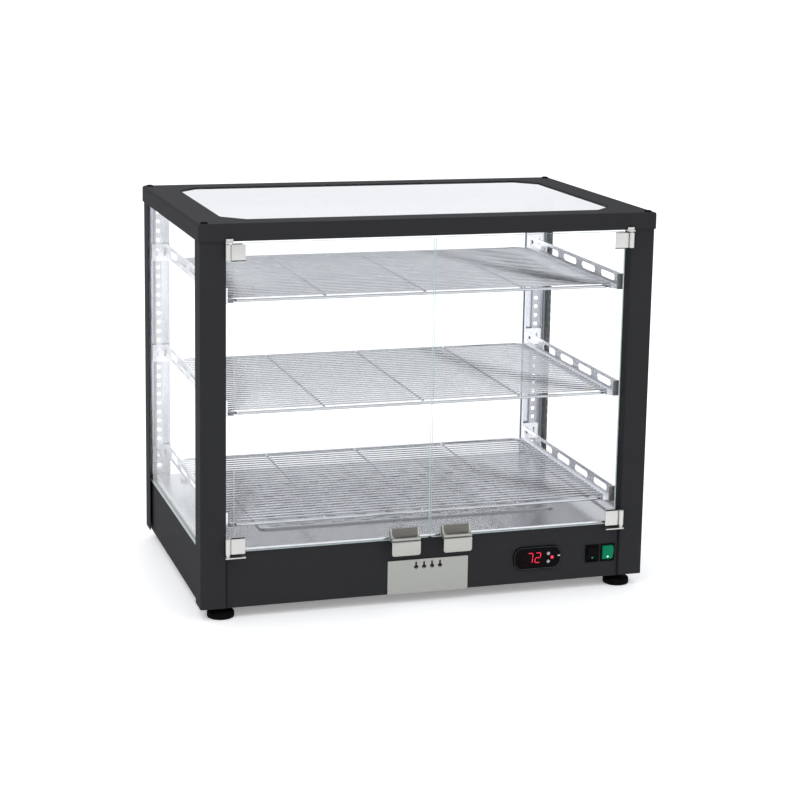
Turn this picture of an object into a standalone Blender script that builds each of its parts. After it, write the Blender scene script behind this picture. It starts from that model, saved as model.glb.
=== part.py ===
"""A countertop hot food display case, built as an assembly of separate pieces.

The case stands on four feet. X runs to the right as the customer-side doors are faced, Y runs to the
back and Z runs up, in metres. The origin is on the counter, under the middle of the case.
Folded sheet metal is an open surface with Bevel at its folds and Solidify for its thickness; its
paths are the middle lines of the sheet. Neighbours keep a gap of GAP.
"""

import math

import bmesh
import bpy
from mathutils import Matrix

# Driving dimensions
WIDTH, DEPTH, HEIGHT = 0.780, 0.500, 0.650
GAP = 0.0003
SHEET = 0.0015  # painted steel
THIN = 0.0012  # stainless steel
FOLD = 0.002  # width of the bevel that rounds a fold

# Black structure
LID_BOTTOM = 0.622
LID_PLATE_BOTTOM = HEIGHT - SHEET
LID_CORNER = 0.004
WINDOW_X, WINDOW_Y, WINDOW_CHAMFER = 0.338, 0.203, 0.036
POST_OUTER_X, POST_OUTER_Y = 0.3875, 0.2475
POST_INNER_X = 0.345
POST_DEPTH, FRONT_RETURN, REAR_RETURN = 0.040, 0.026, 0.010
BASE_BOTTOM, BASE_TOP = 0.0175, 0.113
PAN_TOP = BASE_BOTTOM + SHEET
FASCIA_Y = 0.242
SIDE_PANEL_X = 0.382
PANEL_HALF = POST_INNER_X - GAP
FLANGE = 0.016
FOOT_X, FOOT_Y, FOOT_RADIUS = 0.350, 0.226, 0.0225

# Glass
PANE = 0.004
PANE_BOTTOM, PANE_TOP = BASE_TOP + GAP, 0.641
LID_GLASS_X, LID_GLASS_Y = 0.352, 0.217
DOOR_GLASS = 0.005
DOOR_FRONT, DOOR_BACK = -0.2513, -0.2463
DOOR_INNER, DOOR_OUTER = 0.0015, 0.333
DOOR_BOTTOM, DOOR_TOP = 0.1145, 0.6192

# Stainless interior
DECK_Z = 0.1139
DECK_STEP_Z = 0.1171
DECK_STEP_X, DECK_SIDE_X, DECK_FLANGE_TOP = 0.350, 0.3776, 0.126
AIR_X, AIR_FRONT, AIR_BACK = 0.240, -0.130, 0.165
VENT_X, VENT_FRONT, VENT_BACK, VENT_TOP = 0.265, -0.147, 0.182, 0.1182
SLOT_PITCH_X, SLOT_PITCH_Y, SLOT_ROWS, SLOT_FIRST_Y = 0.0518, 0.0276, 12, -0.1415
SLOT_SIZE = (0.018, 0.003)
UPRIGHT_INNER, UPRIGHT_OUTER, UPRIGHT_Y, UPRIGHT_LIP = 0.345, 0.3795, 0.2368, 0.2290
SHELF_LEVELS = {"top": 0.524, "middle": 0.339, "bottom": 0.152}
SHELF_X, SHELF_FRONT, SHELF_BACK, SHELF_CORNER = 0.3315, -0.2125, 0.210, 0.020
BORDER_WIRE, CROSS_WIRE, FINE_WIRE = 0.0025, 0.0020, 0.0014  # radii
WIRE_PITCH, CROSS_X = 0.0143, 0.171
RAIL_X, RAIL_LEDGE_X, RAIL_FRONT, RAIL_BACK = 0.345, 0.325, -0.215, 0.2282
RAIL_RISE, RAIL_DROP = 0.018, 0.0069
OVAL_CENTRES = (-0.156, -0.070, 0.0156, 0.101, 0.187)
OVAL_LENGTH, OVAL_HEIGHT, OVAL_RISE = 0.060, 0.0118, 0.006

# Doors: hinges and handles
PIVOT_X, PIVOT_Y = 0.3435, -0.2530
KNUCKLE, BORE, PIN = 0.0045, 0.0022, 0.0020  # radii
CLIP_INNER, CLIP_WEB = 0.315, 0.3360
LEAF_FRONT, LEAF_BACK = -0.2530, -0.2445
CLIP_SPANS = {"lower": (0.1110, 0.1376), "upper": (0.592, 0.618)}
HANDLE_INNER, HANDLE_OUTER = 0.020, 0.070
HANDLE_BOTTOM, HANDLE_TOP, HANDLE_SHEET = 0.090, 0.134, 0.0014
HANDLE_CORNER = 0.004

# Water drawer
DRAWER_X, DRAWER_TOP = 0.0705, 0.0753
DRAWER_OPENING = ((-0.066, 0.0202), (0.066, 0.064))
TANK_X, TANK_BACK, TANK_BOTTOM, TANK_TOP = 0.062, -0.032, 0.0208, 0.060
KEYHOLE_X = (-0.021, -0.007, 0.007, 0.021)

# Controls
THERMOSTAT_X, THERMOSTAT_Z = 0.1953, 0.0615
BEZEL_HALF = (0.043, 0.020)
BUTTONS = {"up": (0.0197, 0.0065), "down": (0.0197, -0.0075), "set": (0.0265, -0.0005)}
BUTTON_RADIUS = 0.0029
SWITCHES = {"power": 0.2968, "light": 0.3253}
SWITCH_Z = 0.0605
ROCKER_PIVOT_Y = -0.2410

# Heating
HEATER_Z, HEATER_TUBE, HEATER_BEND = 0.095, 0.004, 0.050
FAN_Y, FAN_HALF, FAN_BOTTOM, FAN_TOP = 0.110, 0.060, 0.026, 0.051
FAN_BORE, FAN_TIP, FAN_HUB, BLADES = 0.0565, 0.054, 0.019, 7
PROBE_X, PROBE_Y = -0.326, 0.192
GLAND_X, GLAND_Z = 0.300, 0.060
OVERHANG_Y = 0.265  # the handles reach this far forward and the cable gland this far back

# Finish: colour, metallic, roughness, alpha
FINISHES = {
    "black_paint": ((0.035, 0.035, 0.038), 0.0, 0.45, 1.0),
    "brushed_stainless": ((0.60, 0.60, 0.58), 1.0, 0.32, 1.0),
    "chrome_wire": ((0.80, 0.80, 0.82), 1.0, 0.12, 1.0),
    "clear_glass": ((0.90, 0.93, 0.93), 0.0, 0.03, 0.25),
    "black_plastic": ((0.015, 0.015, 0.016), 0.0, 0.35, 1.0),
    "green_plastic": ((0.01, 0.33, 0.13), 0.0, 0.25, 1.0),
    "red_plastic": ((0.55, 0.03, 0.04), 0.0, 0.35, 1.0),
    "white_plastic": ((0.85, 0.85, 0.84), 0.0, 0.40, 1.0),
    "black_rubber": ((0.02, 0.02, 0.02), 0.0, 0.75, 1.0),
    "heater_steel": ((0.30, 0.27, 0.25), 1.0, 0.50, 1.0),
}


# ---------------------------------------------------------------- helpers


def start_scene():
    """Empties the scene and makes one collection for the parts and one for the cutters."""
    for old in list(bpy.data.objects):
        bpy.data.objects.remove(old, do_unlink=True)
    made = []
    for name in ("hot_food_display_case", "cutters"):
        collection = bpy.data.collections.new(name)
        bpy.context.scene.collection.children.link(collection)
        made.append(collection)
    return made


def paint(obj, finish):
    """Gives an object its own Principled material."""
    colour, metallic, roughness, alpha = FINISHES[finish]
    material = bpy.data.materials.new(f"{obj.name}_{finish}")
    material.use_nodes = True
    shader = material.node_tree.nodes["Principled BSDF"]
    shader.inputs["Base Color"].default_value = (*colour, 1.0)
    shader.inputs["Metallic"].default_value = metallic
    shader.inputs["Roughness"].default_value = roughness
    shader.inputs["Alpha"].default_value = alpha
    obj.data.materials.append(material)


def part(name, mesh, finish):
    obj = bpy.data.objects.new(name, mesh)
    PARTS.objects.link(obj)
    paint(obj, finish)
    return obj


def helper(name, mesh):
    """An object that only cuts or joins others."""
    obj = bpy.data.objects.new(name, mesh)
    CUTTERS.objects.link(obj)
    obj.hide_render = True
    obj.display_type = "WIRE"
    return obj


def combine(obj, other, operation):
    modifier = obj.modifiers.new(f"{operation.lower()}_{other.name}", "BOOLEAN")
    modifier.object = other
    modifier.operation = operation
    modifier.solver = "EXACT"


def mesh_from(bm, name):
    mesh = bpy.data.meshes.new(name)
    bmesh.ops.recalc_face_normals(bm, faces=bm.faces)
    bm.to_mesh(mesh)
    bm.free()
    return mesh


def add_box(bm, low, high):
    size = [b - a for a, b in zip(low, high)]
    middle = [(a + b) / 2 for a, b in zip(low, high)]
    place = Matrix.Translation(middle) @ Matrix.Diagonal((*size, 1.0))
    return bmesh.ops.create_cube(bm, size=1.0, matrix=place)["verts"]


def boxes(name, corners):
    """One mesh of separate boxes, from pairs of low and high corners."""
    bm = bmesh.new()
    for low, high in corners:
        add_box(bm, low, high)
    return mesh_from(bm, name)


def rounded_box(name, low, high, radius, along=None, segments=2):
    """A box with a radius on the edges that run along one axis, or, with no axis, on all but the bottom."""
    bm = bmesh.new()
    add_box(bm, low, high)
    chosen = []
    for edge in bm.edges:
        a, b = (v.co for v in edge.verts)
        if along is None:
            keep = max(a.z, b.z) > low[2] + 1e-6
        else:
            keep = abs((a - b)["xyz".index(along)]) > 1e-6
        if keep:
            chosen.append(edge)
    bmesh.ops.bevel(
        bm, geom=chosen, offset=radius, segments=segments, profile=0.5, affect="EDGES", clamp_overlap=True
    )
    return mesh_from(bm, name)


def turn_to(axis):
    """The rotation that takes +Z to an axis."""
    return {
        "x": Matrix.Rotation(math.pi / 2, 4, "Y"),
        "y": Matrix.Rotation(-math.pi / 2, 4, "X"),
        "z": Matrix.Identity(4),
    }[axis]


def add_cylinder(bm, centre, radius, length, axis="z", sides=16):
    place = Matrix.Translation(centre) @ turn_to(axis)
    bmesh.ops.create_cone(
        bm, cap_ends=True, segments=sides, radius1=radius, radius2=radius, depth=length, matrix=place
    )


def cylinders(name, centres, radius, length, axis="z", sides=16):
    bm = bmesh.new()
    for centre in centres:
        add_cylinder(bm, centre, radius, length, axis, sides)
    return mesh_from(bm, name)


def mirrored(path, side):
    """A path or a pair of corners with its first coordinate turned to the given side of X = 0."""
    return [(side * point[0], *point[1:]) for point in path]


def side_box(side, low, high):
    """A box's corners, given for the right-hand side, on either side."""
    xs = sorted((side * low[0], side * high[0]))
    return (xs[0], *low[1:]), (xs[1], *high[1:])


def folded_sheet(name, path, along, start, end, thickness, fold=FOLD):
    """A bent sheet: path is the middle line of its section, swept along one axis from start to end."""
    place = {
        "x": lambda a, b, t: (t, a, b),
        "y": lambda a, b, t: (a, t, b),
        "z": lambda a, b, t: (a, b, t),
    }[along]
    bm = bmesh.new()
    row = [bm.verts.new(place(a, b, start)) for a, b in path]
    edges = [bm.edges.new(pair) for pair in zip(row, row[1:])]
    swept = bmesh.ops.extrude_edge_only(bm, edges=edges)["geom"]
    moved = [item for item in swept if isinstance(item, bmesh.types.BMVert)]
    bmesh.ops.translate(bm, verts=moved, vec=place(0, 0, end - start))
    obj = bpy.data.objects.new(name, mesh_from(bm, name))
    if fold:
        bevel = obj.modifiers.new("folds", "BEVEL")
        bevel.width = fold
        bevel.segments = 2
        bevel.limit_method = "ANGLE"
        bevel.angle_limit = math.radians(30)
    solidify = obj.modifiers.new("thickness", "SOLIDIFY")
    solidify.thickness = thickness
    solidify.offset = 0
    solidify.use_even_offset = True
    return obj


def sheet_part(name, finish, path, along, start, end, thickness, fold=FOLD):
    obj = folded_sheet(name, path, along, start, end, thickness, fold)
    PARTS.objects.link(obj)
    paint(obj, finish)
    return obj


def sheet_helper(name, path, along, start, end, thickness, fold=FOLD):
    obj = folded_sheet(name, path, along, start, end, thickness, fold)
    CUTTERS.objects.link(obj)
    obj.hide_render = True
    obj.display_type = "WIRE"
    return obj


def turned(name, profile, finish, centre, axis="z", steps=16, ring=False):
    """A turned piece: its profile of (radius, height), top first, spun about its own axis."""
    bm = bmesh.new()
    verts = [bm.verts.new((radius, 0, height)) for radius, height in profile]
    pairs = list(zip(verts, verts[1:]))
    if ring:
        pairs.append((verts[-1], verts[0]))
    for pair in pairs:
        bm.edges.new(pair)
    mesh = bpy.data.meshes.new(name)
    bm.to_mesh(mesh)
    bm.free()
    obj = part(name, mesh, finish)
    screw = obj.modifiers.new("turning", "SCREW")
    screw.steps = steps
    screw.render_steps = steps
    screw.use_merge_vertices = True
    screw.merge_threshold = 0.0001
    obj.matrix_world = Matrix.Translation(centre) @ turn_to(axis)
    return obj


def wire_mesh(name, runs, radius, resolution, cyclic=False):
    """Wires or tubes through lists of points, as one mesh of closed round sections."""
    curve = bpy.data.curves.new(name, "CURVE")
    curve.dimensions = "3D"
    curve.bevel_depth = radius
    curve.bevel_resolution = resolution
    curve.use_fill_caps = True
    for run in runs:
        spline = curve.splines.new("POLY")
        spline.points.add(len(run) - 1)
        for point, place in zip(spline.points, run):
            point.co = (*place, 1.0)
        spline.use_cyclic_u = cyclic
    source = bpy.data.objects.new(name, curve)
    CUTTERS.objects.link(source)
    graph = bpy.context.evaluated_depsgraph_get()
    mesh = bpy.data.meshes.new_from_object(source.evaluated_get(graph))
    bm = bmesh.new()
    bm.from_mesh(mesh)
    bmesh.ops.remove_doubles(bm, verts=bm.verts, dist=0.00001)
    bmesh.ops.recalc_face_normals(bm, faces=bm.faces)
    bm.to_mesh(mesh)
    bm.free()
    bpy.data.objects.remove(source, do_unlink=True)
    mesh.name = name
    return mesh


def arc(centre, radius, start, end, steps):
    """Points on an arc, in degrees, in the plane of the first two coordinates."""
    found = []
    for i in range(steps + 1):
        angle = math.radians(start + (end - start) * i / steps)
        found.append((centre[0] + radius * math.cos(angle), centre[1] + radius * math.sin(angle)))
    return found


def prism(name, outline, low, high):
    """A flat outline of (y, z) points with thickness along X, from a filled curve."""
    curve = bpy.data.curves.new(name, "CURVE")
    curve.dimensions = "2D"
    curve.fill_mode = "BOTH"
    curve.extrude = (high - low) / 2
    spline = curve.splines.new("POLY")
    spline.points.add(len(outline) - 1)
    for point, place in zip(spline.points, outline):
        point.co = (*place, 0.0, 1.0)
    spline.use_cyclic_u = True
    source = bpy.data.objects.new(name, curve)
    CUTTERS.objects.link(source)
    graph = bpy.context.evaluated_depsgraph_get()
    mesh = bpy.data.meshes.new_from_object(source.evaluated_get(graph))
    bpy.data.objects.remove(source, do_unlink=True)
    # Curve X, Y and Z become world Y, Z and X.
    mesh.transform(Matrix(((0, 0, 1, (low + high) / 2), (1, 0, 0, 0), (0, 1, 0, 0), (0, 0, 0, 1))))
    bm = bmesh.new()
    bm.from_mesh(mesh)
    bmesh.ops.remove_doubles(bm, verts=bm.verts, dist=0.00001)
    bmesh.ops.recalc_face_normals(bm, faces=bm.faces)
    bm.to_mesh(mesh)
    bm.free()
    mesh.name = name
    return mesh


def pivot(name, place, pieces):
    """An empty on a joint's axis, which the pieces of that body hang from."""
    empty = bpy.data.objects.new(name, None)
    PARTS.objects.link(empty)
    empty.location = place
    for piece in pieces:
        piece.parent = empty
        piece.matrix_parent_inverse = Matrix.Translation(place).inverted()


def sides():
    return (("left", -1), ("right", 1))


# ---------------------------------------------------------------- black structure


def make_posts():
    """Four folded corner posts: a face, an outer side and a return towards the door opening."""
    half = SHEET / 2
    for place, back, inward in (("front", -1, FRONT_RETURN), ("rear", 1, REAR_RETURN)):
        path = [
            (POST_INNER_X + half, POST_OUTER_Y - inward),
            (POST_INNER_X + half, POST_OUTER_Y - half),
            (POST_OUTER_X - half, POST_OUTER_Y - half),
            (POST_OUTER_X - half, POST_OUTER_Y - POST_DEPTH),
        ]
        for name, side in sides():
            corner = [(side * x, back * y) for x, y in path]
            sheet_part(
                f"post_{place}_{name}", "black_paint", corner, "z", PAN_TOP + GAP, LID_PLATE_BOTTOM - GAP, SHEET
            )


def make_lid():
    """The top frame, a folded tray with a window, and the glass under it."""
    x, y = WIDTH / 2, DEPTH / 2
    low, high = (-x, -y, LID_BOTTOM), (x, y, HEIGHT)
    lid = part("top_frame", rounded_box("top_frame", low, high, LID_CORNER), "black_paint")
    inset = SHEET
    hollow = rounded_box(
        "lid_hollow",
        (-x + inset, -y + inset, LID_BOTTOM - 0.02),
        (x - inset, y - inset, LID_PLATE_BOTTOM),
        LID_CORNER - SHEET,
        "z",
    )
    combine(lid, helper("lid_hollow", hollow), "DIFFERENCE")
    window = rounded_box(
        "lid_window",
        (-WINDOW_X, -WINDOW_Y, LID_BOTTOM),
        (WINDOW_X, WINDOW_Y, HEIGHT + 0.01),
        WINDOW_CHAMFER,
        "z",
        segments=1,
    )
    combine(lid, helper("lid_window", window), "DIFFERENCE")
    top = LID_PLATE_BOTTOM - GAP
    glass = rounded_box(
        "top_glass",
        (-LID_GLASS_X, -LID_GLASS_Y, top - DOOR_GLASS),
        (LID_GLASS_X, LID_GLASS_Y, top),
        0.003,
        "z",
    )
    part("top_glass", glass, "clear_glass")


def make_panels():
    """The base: bottom pan with drawer guides, front fascia, side panels and rear panel."""
    half = SHEET / 2
    pan = part(
        "base_pan",
        boxes("base_pan", [((-0.3802, -0.2402, BASE_BOTTOM), (0.3802, 0.2402, PAN_TOP))]),
        "black_paint",
    )
    guides = [
        side_box(side, (TANK_X + 0.001, -0.236, PAN_TOP - 0.0002), (TANK_X + 0.0025, 0.010, 0.034))
        for _, side in sides()
    ]
    combine(pan, helper("drawer_guides", boxes("drawer_guides", guides)), "UNION")
    intake = [
        ((-0.040, FAN_Y + dy - 0.003, 0.010), (0.040, FAN_Y + dy + 0.003, 0.024))
        for dy in (-0.032, -0.016, 0.0, 0.016, 0.032)
    ]
    combine(pan, helper("air_intake", boxes("air_intake", intake)), "DIFFERENCE")

    top = BASE_TOP - half
    face = FASCIA_Y - half
    front_path = [(-FASCIA_Y + FLANGE, top), (-face, top), (-face, BASE_BOTTOM)]
    fascia = sheet_part("front_fascia", "black_paint", front_path, "x", -PANEL_HALF, PANEL_HALF, SHEET)
    (x0, z0), (x1, z1) = DRAWER_OPENING
    openings = [((x0, z0), (x1, z1))]
    openings.append(
        (
            (THERMOSTAT_X - 0.0385, THERMOSTAT_Z - 0.0165),
            (THERMOSTAT_X + 0.0385, THERMOSTAT_Z + 0.0165),
        )
    )
    for x in SWITCHES.values():
        openings.append(((x - 0.011, SWITCH_Z - 0.014), (x + 0.011, SWITCH_Z + 0.014)))
    cutters = [((a, -0.250, b), (c, -0.230, d)) for (a, b), (c, d) in openings]
    combine(fascia, helper("fascia_openings", boxes("fascia_openings", cutters)), "DIFFERENCE")

    rear_path = [(FASCIA_Y - FLANGE, top), (face, top), (face, BASE_BOTTOM)]
    rear = sheet_part("rear_panel", "black_paint", rear_path, "x", -PANEL_HALF, PANEL_HALF, SHEET)
    louvres = [
        ((x - 0.030, 0.230, z - 0.002), (x + 0.030, 0.250, z + 0.002))
        for x in (-0.240, -0.160, -0.080, 0.0)
        for z in (0.048, 0.060, 0.072)
    ]
    combine(rear, helper("rear_louvres", boxes("rear_louvres", louvres)), "DIFFERENCE")
    hole = cylinders("gland_hole", [(GLAND_X, FASCIA_Y, GLAND_Z)], 0.0095, 0.02, "y", 24)
    combine(rear, helper("gland_hole", hole), "DIFFERENCE")

    side = SIDE_PANEL_X - half
    side_path = [(side - 0.0135, top), (side, top), (side, BASE_BOTTOM)]
    for name, sign in sides():
        path = mirrored(side_path, sign)
        sheet_part(f"side_panel_{name}", "black_paint", path, "y", -0.232, 0.232, SHEET)


def make_feet():
    """Four round rubber feet on short necks."""
    profile = [
        (0, BASE_BOTTOM - GAP),
        (0.008, BASE_BOTTOM - GAP),
        (0.008, 0.0115),
        (FOOT_RADIUS - 0.0035, 0.0115),
        (FOOT_RADIUS, 0.009),
        (FOOT_RADIUS, 0.001),
        (FOOT_RADIUS - 0.001, 0),
        (0, 0),
    ]
    for place, back in (("front", -1), ("rear", 1)):
        for name, side in sides():
            centre = (side * FOOT_X, back * FOOT_Y, 0)
            turned(f"foot_{place}_{name}", profile, "black_rubber", centre)


# ---------------------------------------------------------------- fixed glass


def make_panes():
    for name, side in sides():
        corners = side_box(side, (0.3805, -0.230, PANE_BOTTOM), (0.3805 + PANE, 0.230, PANE_TOP))
        part(f"side_glass_{name}", boxes("side_glass", [corners]), "clear_glass")
    rear = boxes(
        "rear_glass", [((-PANEL_HALF, 0.240, PANE_BOTTOM), (PANEL_HALF, 0.240 + PANE, PANE_TOP))]
    )
    part("rear_glass", rear, "clear_glass")


# ---------------------------------------------------------------- stainless interior


def make_deck():
    """The cabin floor, stepped up along its sides, with an air opening that the vent plate covers."""
    right = [
        (DECK_STEP_X, DECK_Z),
        (DECK_STEP_X, DECK_STEP_Z),
        (DECK_SIDE_X, DECK_STEP_Z),
        (DECK_SIDE_X, DECK_FLANGE_TOP),
    ]
    path = [(-x, z) for x, z in reversed(right)] + right
    deck = sheet_part("deck_plate", "brushed_stainless", path, "y", -0.2405, 0.2385, THIN, fold=0.001)
    notches = (((0.3438, -0.26, 0.10), (0.40, -0.2205, 0.14)), ((0.3438, 0.2372, 0.10), (0.40, 0.26, 0.14)))
    corners = [side_box(side, low, high) for _, side in sides() for low, high in notches]
    combine(deck, helper("deck_corners", boxes("deck_corners", corners)), "DIFFERENCE")
    edges = [side_box(side, (0.3765, 0.2280, 0.10), (0.40, 0.2390, 0.14)) for _, side in sides()]
    combine(deck, helper("deck_edges", boxes("deck_edges", edges)), "DIFFERENCE")
    air = rounded_box("deck_air", (-AIR_X, AIR_FRONT, 0.10), (AIR_X, AIR_BACK, 0.13), 0.010, "z")
    combine(deck, helper("deck_air", air), "DIFFERENCE")
    hole = cylinders("probe_hole", [(PROBE_X, PROBE_Y, DECK_Z)], 0.0036, 0.02)
    combine(deck, helper("probe_hole", hole), "DIFFERENCE")


def make_vent_plate():
    """A shallow pressed plate with staggered slots, which lies over the air opening."""
    bottom = DECK_Z + THIN / 2 + GAP
    low, high = (-VENT_X, VENT_FRONT, bottom), (VENT_X, VENT_BACK, VENT_TOP)
    plate = part("vent_plate", rounded_box("vent_plate", low, high, 0.012, "z"), "brushed_stainless")
    under = rounded_box(
        "vent_hollow",
        (low[0] + THIN, low[1] + THIN, bottom - 0.01),
        (high[0] - THIN, high[1] - THIN, VENT_TOP - THIN),
        0.0108,
        "z",
    )
    combine(plate, helper("vent_hollow", under), "DIFFERENCE")
    length, width = SLOT_SIZE
    slots = []
    for row in range(SLOT_ROWS):
        y = SLOT_FIRST_Y + row * SLOT_PITCH_Y
        columns = [k * SLOT_PITCH_X for k in range(-4, 5)]
        if row % 2:
            columns = [(k + 0.5) * SLOT_PITCH_X for k in range(-5, 5)]
        slots += [
            ((x - length / 2, y - width / 2, 0.113), (x + length / 2, y + width / 2, 0.125)) for x in columns
        ]
    combine(plate, helper("vent_slots", boxes("vent_slots", slots)), "DIFFERENCE")


def make_uprights():
    """Channels at the rear corners, open to the front, with a light strip inside each."""
    half = THIN / 2
    path = [
        (UPRIGHT_OUTER - half, UPRIGHT_LIP),
        (UPRIGHT_OUTER - half, UPRIGHT_Y - half),
        (UPRIGHT_INNER + half, UPRIGHT_Y - half),
        (UPRIGHT_INNER + half, UPRIGHT_LIP),
    ]
    for name, side in sides():
        sheet_part(
            f"upright_{name}", "brushed_stainless", mirrored(path, side), "z", 0.1182, PANE_TOP, THIN, fold=0.001
        )
        strip = side_box(side, (0.359, 0.2300, 0.128), (0.372, UPRIGHT_Y - THIN - GAP, 0.612))
        part(f"light_strip_{name}", boxes("light_strip", [strip]), "white_plastic")


def make_rails():
    """Shelf rails: an upright sheet with oval holes, a ledge for the shelf, and end plates."""
    for level, height in SHELF_LEVELS.items():
        for name, side in sides():
            label = f"rail_{level}_{name}"
            ledge = height - RAIL_DROP
            top = height + RAIL_RISE
            path = mirrored([(RAIL_LEDGE_X, ledge), (RAIL_X, ledge), (RAIL_X, top)], side)
            rail = sheet_part(label, "brushed_stainless", path, "y", RAIL_FRONT, RAIL_BACK, THIN, fold=0.001)
            ends = [
                side_box(side, (0.336, RAIL_FRONT - 0.001, ledge - 0.002), (0.356, RAIL_FRONT + 0.001, top)),
                side_box(side, (RAIL_X - 0.0006, RAIL_BACK - 0.0007, ledge - 0.002), (0.377, 0.2287, top + 0.004)),
            ]
            combine(rail, helper(f"ends_{label}", boxes(f"ends_{label}", ends)), "UNION")
            slots = [
                side_box(side, (x, 0.220, height + 0.001), (x + 0.0035, 0.2295, height + 0.013))
                for x in (0.3520, 0.3660)
            ]
            combine(rail, helper(f"slots_{label}", boxes(f"slots_{label}", slots)), "DIFFERENCE")
            bm = bmesh.new()
            centre_z = height + OVAL_RISE
            for y in OVAL_CENTRES:
                oval = rounded_box(
                    "oval",
                    (side * RAIL_X - 0.004, y - OVAL_LENGTH / 2, centre_z - OVAL_HEIGHT / 2),
                    (side * RAIL_X + 0.004, y + OVAL_LENGTH / 2, centre_z + OVAL_HEIGHT / 2),
                    OVAL_HEIGHT / 2 - 0.0001,
                    "x",
                    segments=3,
                )
                bm.from_mesh(oval)
                bpy.data.meshes.remove(oval)
            ovals = helper(f"ovals_{label}", mesh_from(bm, f"ovals_{label}"))
            combine(rail, ovals, "DIFFERENCE")


def make_shelves():
    """Wire shelves: a border wire, cross wires along Y, and fine wires along X welded on top."""
    corners = (
        ((SHELF_X, SHELF_FRONT), (-1, 1), -90),
        ((SHELF_X, SHELF_BACK), (-1, -1), 0),
        ((-SHELF_X, SHELF_BACK), (1, -1), 90),
        ((-SHELF_X, SHELF_FRONT), (1, 1), 180),
    )
    loop = []
    for (x, y), (to_x, to_y), start in corners:
        centre = (x + to_x * SHELF_CORNER, y + to_y * SHELF_CORNER)
        loop += arc(centre, SHELF_CORNER, start, start + 90, 4)
    count = int((SHELF_BACK - SHELF_FRONT - 0.010) / WIRE_PITCH)
    rows = [SHELF_FRONT + WIRE_PITCH * (k + 1) for k in range(count)]
    for level, height in SHELF_LEVELS.items():
        name = f"wire_shelf_{level}"
        low = height - 0.0035
        border = wire_mesh(name, [[(x, y, low) for x, y in loop]], BORDER_WIRE, 1, cyclic=True)
        shelf = part(name, border, "chrome_wire")
        z = height - 0.0032
        runs = [[(x, SHELF_FRONT, z), (x, SHELF_BACK, z)] for x in (-CROSS_X, 0.0, CROSS_X)]
        cross = helper(f"cross_wires_{level}", wire_mesh(f"cross_wires_{level}", runs, CROSS_WIRE, 1))
        combine(shelf, cross, "UNION")
        z = height - 0.0005
        reach = SHELF_X + 0.0005
        runs = [[(-reach, y, z), (reach, y, z)] for y in rows if y < SHELF_BACK - SHELF_CORNER]
        fine = helper(f"fine_wires_{level}", wire_mesh(f"fine_wires_{level}", runs, FINE_WIRE, 0))
        combine(shelf, fine, "UNION")


# ---------------------------------------------------------------- doors


def make_hinges():
    """Door clips with rolled knuckles, and the fixed brackets whose pins they turn on."""
    clips = {}
    for name, side in sides():
        x = side * PIVOT_X
        for place, (z0, z1) in CLIP_SPANS.items():
            label = f"hinge_clip_{name}_{place}"
            middle, length = (z0 + z1) / 2, z1 - z0
            knuckle = cylinders(label, [(x, PIVOT_Y, middle)], KNUCKLE, length, sides=20)
            clip = part(label, knuckle, "brushed_stainless")
            leaves = [
                side_box(side, (CLIP_INNER, LEAF_FRONT, z0), (PIVOT_X, LEAF_FRONT + 0.0014, z1)),
                side_box(side, (DOOR_OUTER + 0.0006, LEAF_FRONT + 0.0004, z0), (CLIP_WEB, LEAF_BACK, z1)),
                side_box(side, (0.318, LEAF_BACK - 0.0014, z0), (CLIP_WEB - 0.0003, LEAF_BACK, z1)),
            ]
            for leaf, place_name in zip(leaves, ("front", "web", "back")):
                piece = f"{place_name}_{label}"
                combine(clip, helper(piece, boxes(piece, [leaf])), "UNION")
            if place == "lower":
                cup = side_box(side, (0.3185, LEAF_FRONT + 0.0005, z0), (0.3325, -0.2448, DOOR_BOTTOM - GAP))
                combine(clip, helper(f"cup_{label}", boxes(f"cup_{label}", [cup])), "UNION")
            bore = cylinders(f"bore_{label}", [(x, PIVOT_Y, middle)], BORE, length + 0.02)
            combine(clip, helper(f"bore_{label}", bore), "DIFFERENCE")
            clips[name, place] = clip

        lower = f"hinge_bracket_{name}_lower"
        plate = [
            side_box(side, (CLIP_INNER, -0.2575, 0.1050), (PANEL_HALF, -FASCIA_Y - GAP, 0.1068)),
            side_box(side, (PANEL_HALF - 0.002, -0.2575, 0.1050), (0.3480, -0.2480, 0.1068)),
        ]
        bracket = part(lower, boxes(lower, plate[:1]), "brushed_stainless")
        combine(bracket, helper(f"ear_{lower}", boxes(f"ear_{lower}", plate[1:])), "UNION")
        pin = cylinders(f"pin_{lower}", [(x, PIVOT_Y, 0.1113)], PIN, 0.0120)
        combine(bracket, helper(f"pin_{lower}", pin), "UNION")
        collar = cylinders(f"collar_{lower}", [(x, PIVOT_Y, 0.1085)], 0.0032, 0.0043)
        combine(bracket, helper(f"collar_{lower}", collar), "UNION")

        upper = f"hinge_bracket_{name}_upper"
        x0, x1 = 0.3355, PANEL_HALF
        plate = [side_box(side, (x0, -0.2575, 0.6200), (x1, -0.2467, LID_BOTTOM - GAP))]
        bracket = part(upper, boxes(upper, plate), "brushed_stainless")
        ear = [side_box(side, (x1 - 0.002, -0.2575, 0.6200), (0.3480, -0.2480, LID_BOTTOM - GAP))]
        combine(bracket, helper(f"ear_{upper}", boxes(f"ear_{upper}", ear)), "UNION")
        tab = [side_box(side, (x0, -0.2482, 0.6205), (x1, -0.2467, 0.6400))]
        combine(bracket, helper(f"tab_{upper}", boxes(f"tab_{upper}", tab)), "UNION")
        front = [side_box(side, (x0, -0.2545, 0.6205), (0.3470, -DEPTH / 2 - GAP, 0.6265))]
        combine(bracket, helper(f"front_{upper}", boxes(f"front_{upper}", front)), "UNION")
        pin = cylinders(f"pin_{upper}", [(x, PIVOT_Y, 0.6125)], PIN, 0.0165)
        combine(bracket, helper(f"pin_{upper}", pin), "UNION")
    return clips


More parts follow.
